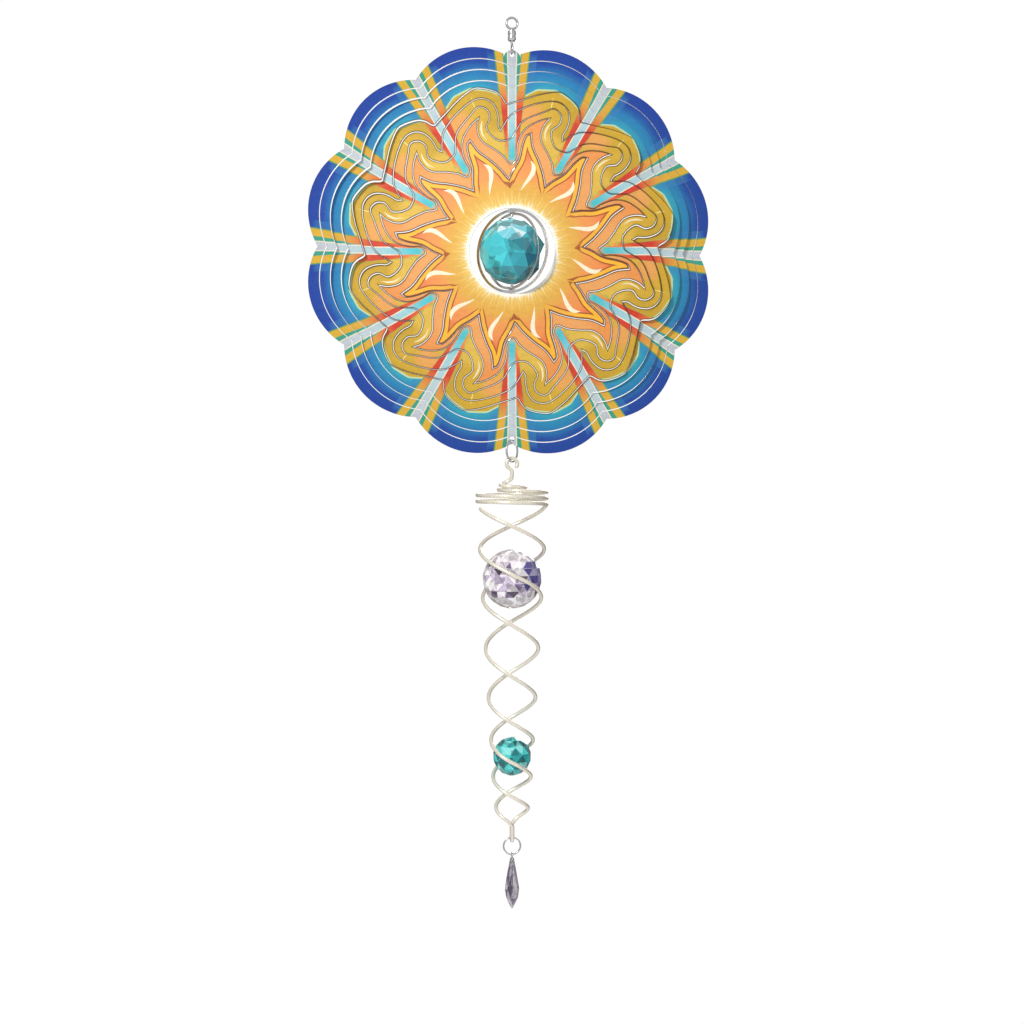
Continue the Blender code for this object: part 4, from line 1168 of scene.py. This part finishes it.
def make_glass(teal, aqua, clear, steel):
    """Centre ball with its pins, and the two caught balls."""
    turn = fan_angle("inner_ring_2")
    points = [Vector((x * math.cos(turn) - y * math.sin(turn), x * math.sin(turn) + y * math.cos(turn), z))
              for x, y, z in ball_points(BALL * MM, 8, 10, BALL_FLAT * MM)]
    points = [point for point in points if point.normalized().dot(STAR) < math.cos(STAR_REACH * 1.3)]
    points += star_points(BALL * MM)
    mesh = faceted("centre_ball_cut", points, teal, centre_tint)
    stands_for(place_piece("centre_ball_cut", mesh, (0, 0, DISC_Z)), "centre_ball", ["centre_ball"])
    for node in ("ball_pin_top", "ball_pin_bottom"):
        low, high = (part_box(node)[i].z for i in (0, 1))
        bm = bmesh.new()
        length = (high - low) / MM
        bead = length * 0.35 if node == "ball_pin_top" else length * 0.65
        turned(bm, rounded([(0, 0), (BALL_PIN, 0), (BALL_PIN, bead - 0.4), (BALL_PIN * 0.8, bead),
                            (BALL_PIN, bead + 0.4), (BALL_PIN, length), (0, length)], 0.2), 24, low)
        add_piece(bm, node + "_fine", steel, "inner_ring_2", [node])
    for name, radius, rows, around, glass, tint, slot in (
            ("clear_ball", CLEAR_BALL, 12, 17, clear, clear_tint, "clear_glass"),
            ("teal_ball", TEAL_BALL, 8, 11, aqua, teal_tint, "teal_glass")):
        z = JOINTS[name + "_turn"]["pos_m"][2]
        points = ball_points(radius * MM, rows, around, CAUGHT_BALL_FLAT * radius * MM)
        piece = place_piece(name + "_cut", faceted(name + "_cut", points, glass, tint), (0, 0, z))
        stands_for(piece, name, [name])


# ---- tail ---------------------------------------------------------------------------------
def caught(drop, radius, centre):
    """Radius a strand needs to pass round a caught ball at this drop."""
    height = drop - centre
    return math.sqrt(radius ** 2 - height ** 2) + TAIL_WIRE + CLEAR * 1.5 if abs(height) < radius else 0.0


def helix_radius(share):
    """Radius of the double helix, from its top (0) to its bottom (1)."""
    body = LARGE_COIL + (HELIX_END - LARGE_COIL) * share
    closing = min(1.0, (1 - share) / HELIX_CLOSING)
    body = HAIRPIN + (body - HAIRPIN) * math.sin(closing * math.pi / 2)
    drop = share * HELIX_LENGTH
    return max(body, caught(drop, CLEAR_BALL, CLEAR_BALL_DROP),
               caught(drop, TEAL_BALL, HELIX_LENGTH - TEAL_BALL_RISE))


def helix_leg(top, start_angle, first_share, steps):
    """One strand of the double helix."""
    points = []
    for step in range(steps + 1):
        share = first_share + (1 - first_share) * step / steps
        turned = HELIX_SLACK * share + (1 - HELIX_SLACK) * share ** 2
        angle = start_angle + math.tau * (HELIX_TURNS * turned + HELIX_LEAD * math.sin(math.tau * share))
        radius = helix_radius(share)
        points.append((radius * math.cos(angle), radius * math.sin(angle), top - HELIX_LENGTH * share))
    return points


def tail_line():
    """The spiral's wire from its eye to the end of its second strand (mm from the tail eye's centre)."""
    points = []
    for step in range(34):
        a = EYE_OPEN + (TAIL_EYE_END - EYE_OPEN) * step / 33
        points.append((TAIL_EYE * math.sin(a), 0, -TAIL_EYE * math.cos(a)))
    bend = [points[-2], points[-1], (-0.2 * TAIL_EYE, 0, -1.1 * TAIL_EYE), (0, 0, -1.6 * TAIL_EYE)]
    small = -TAIL_EYE - TAIL_STEM
    small_start = -LARGE_TURNS - LARGE_START - SMALL_TURNS
    opening = []
    for step in range(10):
        share = (step + 1) / 10
        angle = math.tau * (small_start + OPENING_TURNS * share)
        radius = SMALL_COIL * math.sin(share * math.pi / 2) ** 1.5
        opening.append((radius * math.cos(angle), radius * math.sin(angle),
                        small + 0.55 * TAIL_STEM * (1 - share) ** 1.6))
    points = points[:-1] + [tuple(p) for p in run_through(bend[1:] + opening, 60)]
    for step in range(49):
        angle = math.tau * (small_start + OPENING_TURNS + (SMALL_TURNS - OPENING_TURNS) * step / 48)
        points.append((SMALL_COIL * math.cos(angle), SMALL_COIL * math.sin(angle),
                       small - SMALL_COIL_FALL * COIL_PITCH * step / 48))
    low = small - SMALL_COIL_FALL * COIL_PITCH
    large = small - COIL_PITCH
    for step in range(1, 33):
        share = step / 32
        eased = share * share * (3 - 2 * share)
        angle = math.tau * (-LARGE_TURNS - LARGE_START + LARGE_START * share)
        radius = SMALL_COIL + (LARGE_COIL - SMALL_COIL) * eased
        points.append((radius * math.cos(angle), radius * math.sin(angle), low + (large - low) * eased))
    turns = int(64 * LARGE_TURNS)
    for step in range(1, turns):
        angle = math.tau * LARGE_TURNS * (step / turns - 1)
        points.append((LARGE_COIL * math.cos(angle), LARGE_COIL * math.sin(angle),
                       large - COIL_PITCH * LARGE_TURNS * step / turns))
    top = large - COIL_PITCH * LARGE_TURNS
    points += helix_leg(top, 0.0, 0.0, 300)
    bottom = top - HELIX_LENGTH - HAIRPIN_LENGTH
    for step in range(19):
        a = math.pi * step / 18
        points.append((0, -HAIRPIN * math.cos(a), bottom - HAIRPIN * math.sin(a)))
    return points + helix_leg(top, math.pi, HELIX_CLEAR_START, 300)[::-1]


def make_tail(wire_metal, steel):
    """Tail ring and the spiral."""
    ring_z = JOINTS["tail_ring_swing"]["pos_m"][2] - TAIL_RING_RADIUS * MM
    bm = bmesh.new()
    ring_of_wire(bm, TAIL_RING_RADIUS, ring_z, TAIL_RING_TURN, 72, TAIL_RING_WIRE, 16)
    add_piece(bm, "tail_ring_fine", steel, "tail_ring", ["tail_ring"])
    eye_z = JOINTS["tail_swing"]["pos_m"][2] + (TAIL_RING_WIRE + TAIL_WIRE + CLEAR - TAIL_EYE) * MM
    bm = bmesh.new()
    wire(bm, [(x * MM, y * MM, eye_z + z * MM) for x, y, z in tail_line()], TAIL_WIRE * MM, 14, dome=True)
    stretches = [n for n in frame["nodes"] if n.startswith("tail_") and n != "tail_ring"]
    add_piece(bm, "tail_spiral_wire", wire_metal, "tail", sorted(stretches))


def make_pendant(steel, glass):
    """Jump ring, link and the drilled drop."""
    jump_z = JOINTS["drop_swing"]["pos_m"][2] + JUMP_RADIUS * MM
    bm = bmesh.new()
    ring_of_wire(bm, JUMP_RADIUS, jump_z, 0, 64, JUMP_WIRE, 16)
    add_piece(bm, "jump_ring_fine", steel, "jump_ring", ["jump_ring"])
    low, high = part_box("drop_link")
    bm = bmesh.new()
    ring_of_wire(bm, LINK_RADIUS, (low.z + high.z) / 2, math.pi / 2, 48, LINK_WIRE, 12)
    add_piece(bm, "drop_link_fine", steel, "drop", ["drop_link"])
    low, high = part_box("glass_drop")
    points = drop_points(high.z, high.z - low.z, DROP_RADIUS * MM, DROP_NECK * MM)
    drop = place_piece("glass_drop_cut", faceted("glass_drop_cut", points, glass, drop_tint))
    drill = bmesh.new()
    turned(drill, [(0, -8), (DROP_HOLE, -8), (DROP_HOLE, 8), (0, 8)], 24)
    cutter = place_piece("drop_drill", finish_mesh(drill, "drop_drill", glass, False),
                         (0, 0, high.z - (DROP_HOLE + DROP_HOLE_EDGE) * MM))
    cutter.rotation_euler = (math.pi / 2, 0, 0)
    drop.data = combined(drop, cutter, "DIFFERENCE")
    stands_for(drop, "drop", ["glass_drop"])


# ---- materials ----------------------------------------------------------------------------
class Graph:
    """Small helper for the nodes of a material or of the world."""

    def __init__(self, owner, shader="Principled BSDF"):
        self.owner = owner
        owner.use_nodes = True
        self.tree = owner.node_tree
        self.shader = self.tree.nodes[shader]

    def settings(self, **values):
        """Numbers of the shader's own sockets; an underscore stands for a space."""
        for key, value in values.items():
            self.shader.inputs[key.replace("_", " ")].default_value = value

    def node(self, kind, **values):
        made = self.tree.nodes.new(kind)
        for key, value in values.items():
            if key in made.inputs:
                made.inputs[key].default_value = value
            else:
                setattr(made, key, value)
        return made

    def link(self, source, target):
        self.tree.links.new(source, target)

    def coordinates(self, stretch=(1, 1, 1)):
        place = self.node("ShaderNodeTexCoord")
        mapping = self.node("ShaderNodeMapping", Scale=stretch)
        self.link(place.outputs["Object"], mapping.inputs["Vector"])
        return mapping.outputs["Vector"]

    def noise(self, scale, detail=3.0, stretch=(1, 1, 1), roughness=0.55):
        texture = self.node("ShaderNodeTexNoise", Scale=scale, Detail=detail, Roughness=roughness)
        self.link(self.coordinates(stretch), texture.inputs["Vector"])
        return texture.outputs["Fac"]

    def remap(self, value, low, high, start=0.3, end=0.7):
        ranged = self.node("ShaderNodeMapRange",
                           **{"From Min": start, "From Max": end, "To Min": low, "To Max": high})
        self.link(value, ranged.inputs["Value"])
        return ranged.outputs["Result"]

    def mix(self, first, second, factor):
        """Mix of two colours; factor is an output."""
        mix = self.node("ShaderNodeMix", data_type="RGBA", A=(*first, 1), B=(*second, 1))
        self.link(factor, mix.inputs["Factor"])
        return mix

    def scaled(self, colour, factor):
        mix = self.node("ShaderNodeVectorMath", operation="SCALE")
        self.link(colour, mix.inputs[0])
        self.link(factor, mix.inputs["Scale"])
        return mix.outputs["Vector"]

    def bump(self, height, strength, distance):
        made = self.node("ShaderNodeBump", Strength=strength, Distance=distance)
        self.link(height, made.inputs["Height"])
        self.link(made.outputs["Normal"], self.shader.inputs["Normal"])


def printed_material():
    """Satin ink on steel: the print's colours with fine grain and a little metal under them."""
    g = Graph(bpy.data.materials.new("printed_sheet"))
    paint = g.node("ShaderNodeAttribute", attribute_name="print")
    grain = g.remap(g.noise(900, 4), 0.94, 1.05)
    streak = g.remap(g.noise(60, 5, (1, 1, 6)), 0.95, 1.04)
    both = g.node("ShaderNodeMath", operation="MULTIPLY")
    g.link(grain, both.inputs[0])
    g.link(streak, both.inputs[1])
    g.link(g.scaled(paint.outputs["Color"], both.outputs["Value"]), g.shader.inputs["Base Color"])
    g.link(g.remap(g.noise(300, 3), 0.30, 0.44), g.shader.inputs["Roughness"])
    g.settings(Metallic=0.15, Coat_Weight=0.12, Coat_Roughness=0.2)
    g.bump(g.noise(1400, 2), 0.08, 0.0002)
    return g.owner


def metal_material(name, colour, dark, roughness, brush, scale, metallic=1.0):
    """Bare metal with drawn or brushed lines."""
    g = Graph(bpy.data.materials.new(name))
    lines = g.noise(scale, 4, brush)
    g.link(g.mix(dark, colour, g.remap(lines, 0.2, 1.0)).outputs["Result"], g.shader.inputs["Base Color"])
    worn = g.remap(g.noise(scale * 2, 3, brush), roughness * 0.8, roughness * 1.3)
    g.link(worn, g.shader.inputs["Roughness"])
    g.settings(Metallic=metallic)
    g.bump(lines, 0.06, 0.0001)
    return g.owner


def glass_material(name, transmission, roughness, swirl):
    """Cut glass: facet tints with inner reflections broken up by cells."""
    g = Graph(bpy.data.materials.new(name))
    paint = g.node("ShaderNodeAttribute", attribute_name="facet")
    cells = g.node("ShaderNodeTexVoronoi", Scale=swirl, Randomness=1.0)
    g.link(g.coordinates(), cells.inputs["Vector"])
    inner = g.node("ShaderNodeSeparateColor")
    g.link(cells.outputs["Color"], inner.inputs["Color"])
    mottled = g.scaled(paint.outputs["Color"], g.remap(inner.outputs["Red"], 0.72, 1.3))
    g.link(mottled, g.shader.inputs["Base Color"])
    g.link(g.remap(g.noise(400, 2), roughness * 0.6, roughness * 1.5), g.shader.inputs["Roughness"])
    g.settings(Transmission_Weight=transmission, IOR=1.52, Coat_Weight=0.5, Coat_Roughness=0.03)
    return g.owner


def floor_material():
    """Pale seamless paper."""
    g = Graph(bpy.data.materials.new("pale_floor"))
    paper = g.mix((0.93, 0.93, 0.93), (0.97, 0.97, 0.97), g.noise(8, 3))
    g.link(paper.outputs["Result"], g.shader.inputs["Base Color"])
    g.settings(Roughness=0.8)
    return g.owner


# ---- stage --------------------------------------------------------------------------------
def aim(thing, target):
    """Turn a light or camera to look at a point."""
    thing.rotation_euler = (Vector(target) - thing.location).to_track_quat("-Z", "Y").to_euler()


def make_world():
    """Surroundings that are brightest towards the softbox, with a white backdrop for the camera."""
    g = Graph(bpy.data.worlds.new("studio"), "Background")
    bpy.context.scene.world = g.owner
    place = g.node("ShaderNodeTexCoord")
    facing = g.node("ShaderNodeVectorMath", operation="DOT_PRODUCT")
    facing.inputs[1].default_value = Vector(SOFTBOX).normalized()
    g.link(place.outputs["Generated"], facing.inputs[0])
    shades = g.node("ShaderNodeValToRGB")
    for element, position, colour in zip(shades.color_ramp.elements, (0.0, 1.0), (WORLD_DARK, WORLD_LIGHT)):
        element.position = position
        element.color = (*colour, 1)
    g.link(g.remap(facing.outputs["Value"], 0.0, 1.0, *WORLD_SPREAD), shades.inputs["Fac"])
    white = g.mix(BACKDROP, BACKDROP, g.node("ShaderNodeLightPath").outputs["Is Camera Ray"])
    g.link(shades.outputs["Color"], white.inputs["A"])
    g.link(white.outputs["Result"], g.shader.inputs["Color"])


def make_stage():
    """Pale floor below the spinner, surroundings and square soft lights."""
    bm = bmesh.new()
    bmesh.ops.create_circle(bm, cap_ends=True, radius=FLOOR_RADIUS, segments=96)
    place_piece("floor", finish_mesh(bm, "floor", floor_material(), False), (0, 0, FLOOR_Z))
    make_world()
    for name, location, aimed_at, size, power, colour in LIGHTS:
        data = bpy.data.lights.new(name, "AREA")
        data.size = size
        data.energy = power
        data.color = colour
        light = bpy.data.objects.new(name, data)
        bpy.context.scene.collection.objects.link(light)
        light.location = location
        aim(light, (0, 0, DISC_Z + aimed_at))


def make_camera():
    """Level camera in front, framed as a square picture 771 mm wide at the disc."""
    data = bpy.data.cameras.new("camera")
    data.sensor_width = SENSOR
    data.lens = SENSOR * CAMERA_AWAY / FRAME_WIDTH
    camera = bpy.data.objects.new("camera", data)
    bpy.context.scene.collection.objects.link(camera)
    level = DISC_Z - CAMERA_BELOW_DISC
    camera.location = (-CAMERA_AWAY * math.sin(CAMERA_TURN), -CAMERA_AWAY * math.cos(CAMERA_TURN), level)
    aim(camera, (0, 0, level))
    bpy.context.scene.camera = camera
    bpy.context.scene.view_settings.view_transform = "Standard"


def main():
    """Make every piece."""
    make_camera()
    paint = printed_material()
    cut_edge = metal_material("cut_edge", (0.93, 0.92, 0.88), (0.80, 0.79, 0.76), 0.28, (1, 1, 1), 700)
    # dark cut walls for the shaped slots: painted shade standing for the shadow inside the slots
    dark_edge = metal_material("painted_shade_edge", (0.26, 0.18, 0.11), (0.18, 0.12, 0.07), 0.4, (1, 1, 1), 700)
    bare = metal_material("bare_steel", (0.80, 0.81, 0.82), (0.66, 0.67, 0.69), 0.14, (1, 1, 8), 300)
    champagne = metal_material("champagne_wire", (1.0, 0.97, 0.86), (0.95, 0.88, 0.70), 0.28, (3, 3, 1), 260,
                               0.45)
    teal = glass_material("teal_crystal", 0.18, 0.05, 130)
    aqua = glass_material("aqua_crystal", 0.2, 0.05, 200)
    clear = glass_material("clear_crystal", 0.12, 0.04, 260)
    drop_glass = glass_material("drop_crystal", 0.35, 0.04, 220)
    make_sheet(paint, cut_edge, dark_edge)
    make_inner_rings(bare, cut_edge)
    chain = RINGS + INNER_RINGS
    for index, line in enumerate(slot_lines() + inner_slot_lines()):
        half, material = (BRIDGE_VISIBLE, cut_edge) if index < len(RINGS) - 1 else (INNER_BRIDGE, bare)
        for side, label in ((1, "top"), (-1, "bottom")):
            make_bridge("bridge_%d_%s" % (index + 1, label), line, side, chain[index:index + 2], half,
                        material)
    make_hanger(bare)
    make_glass(teal, aqua, clear, bare)
    make_tail(champagne, bare)
    make_pendant(bare, drop_glass)
    make_stage()


main()
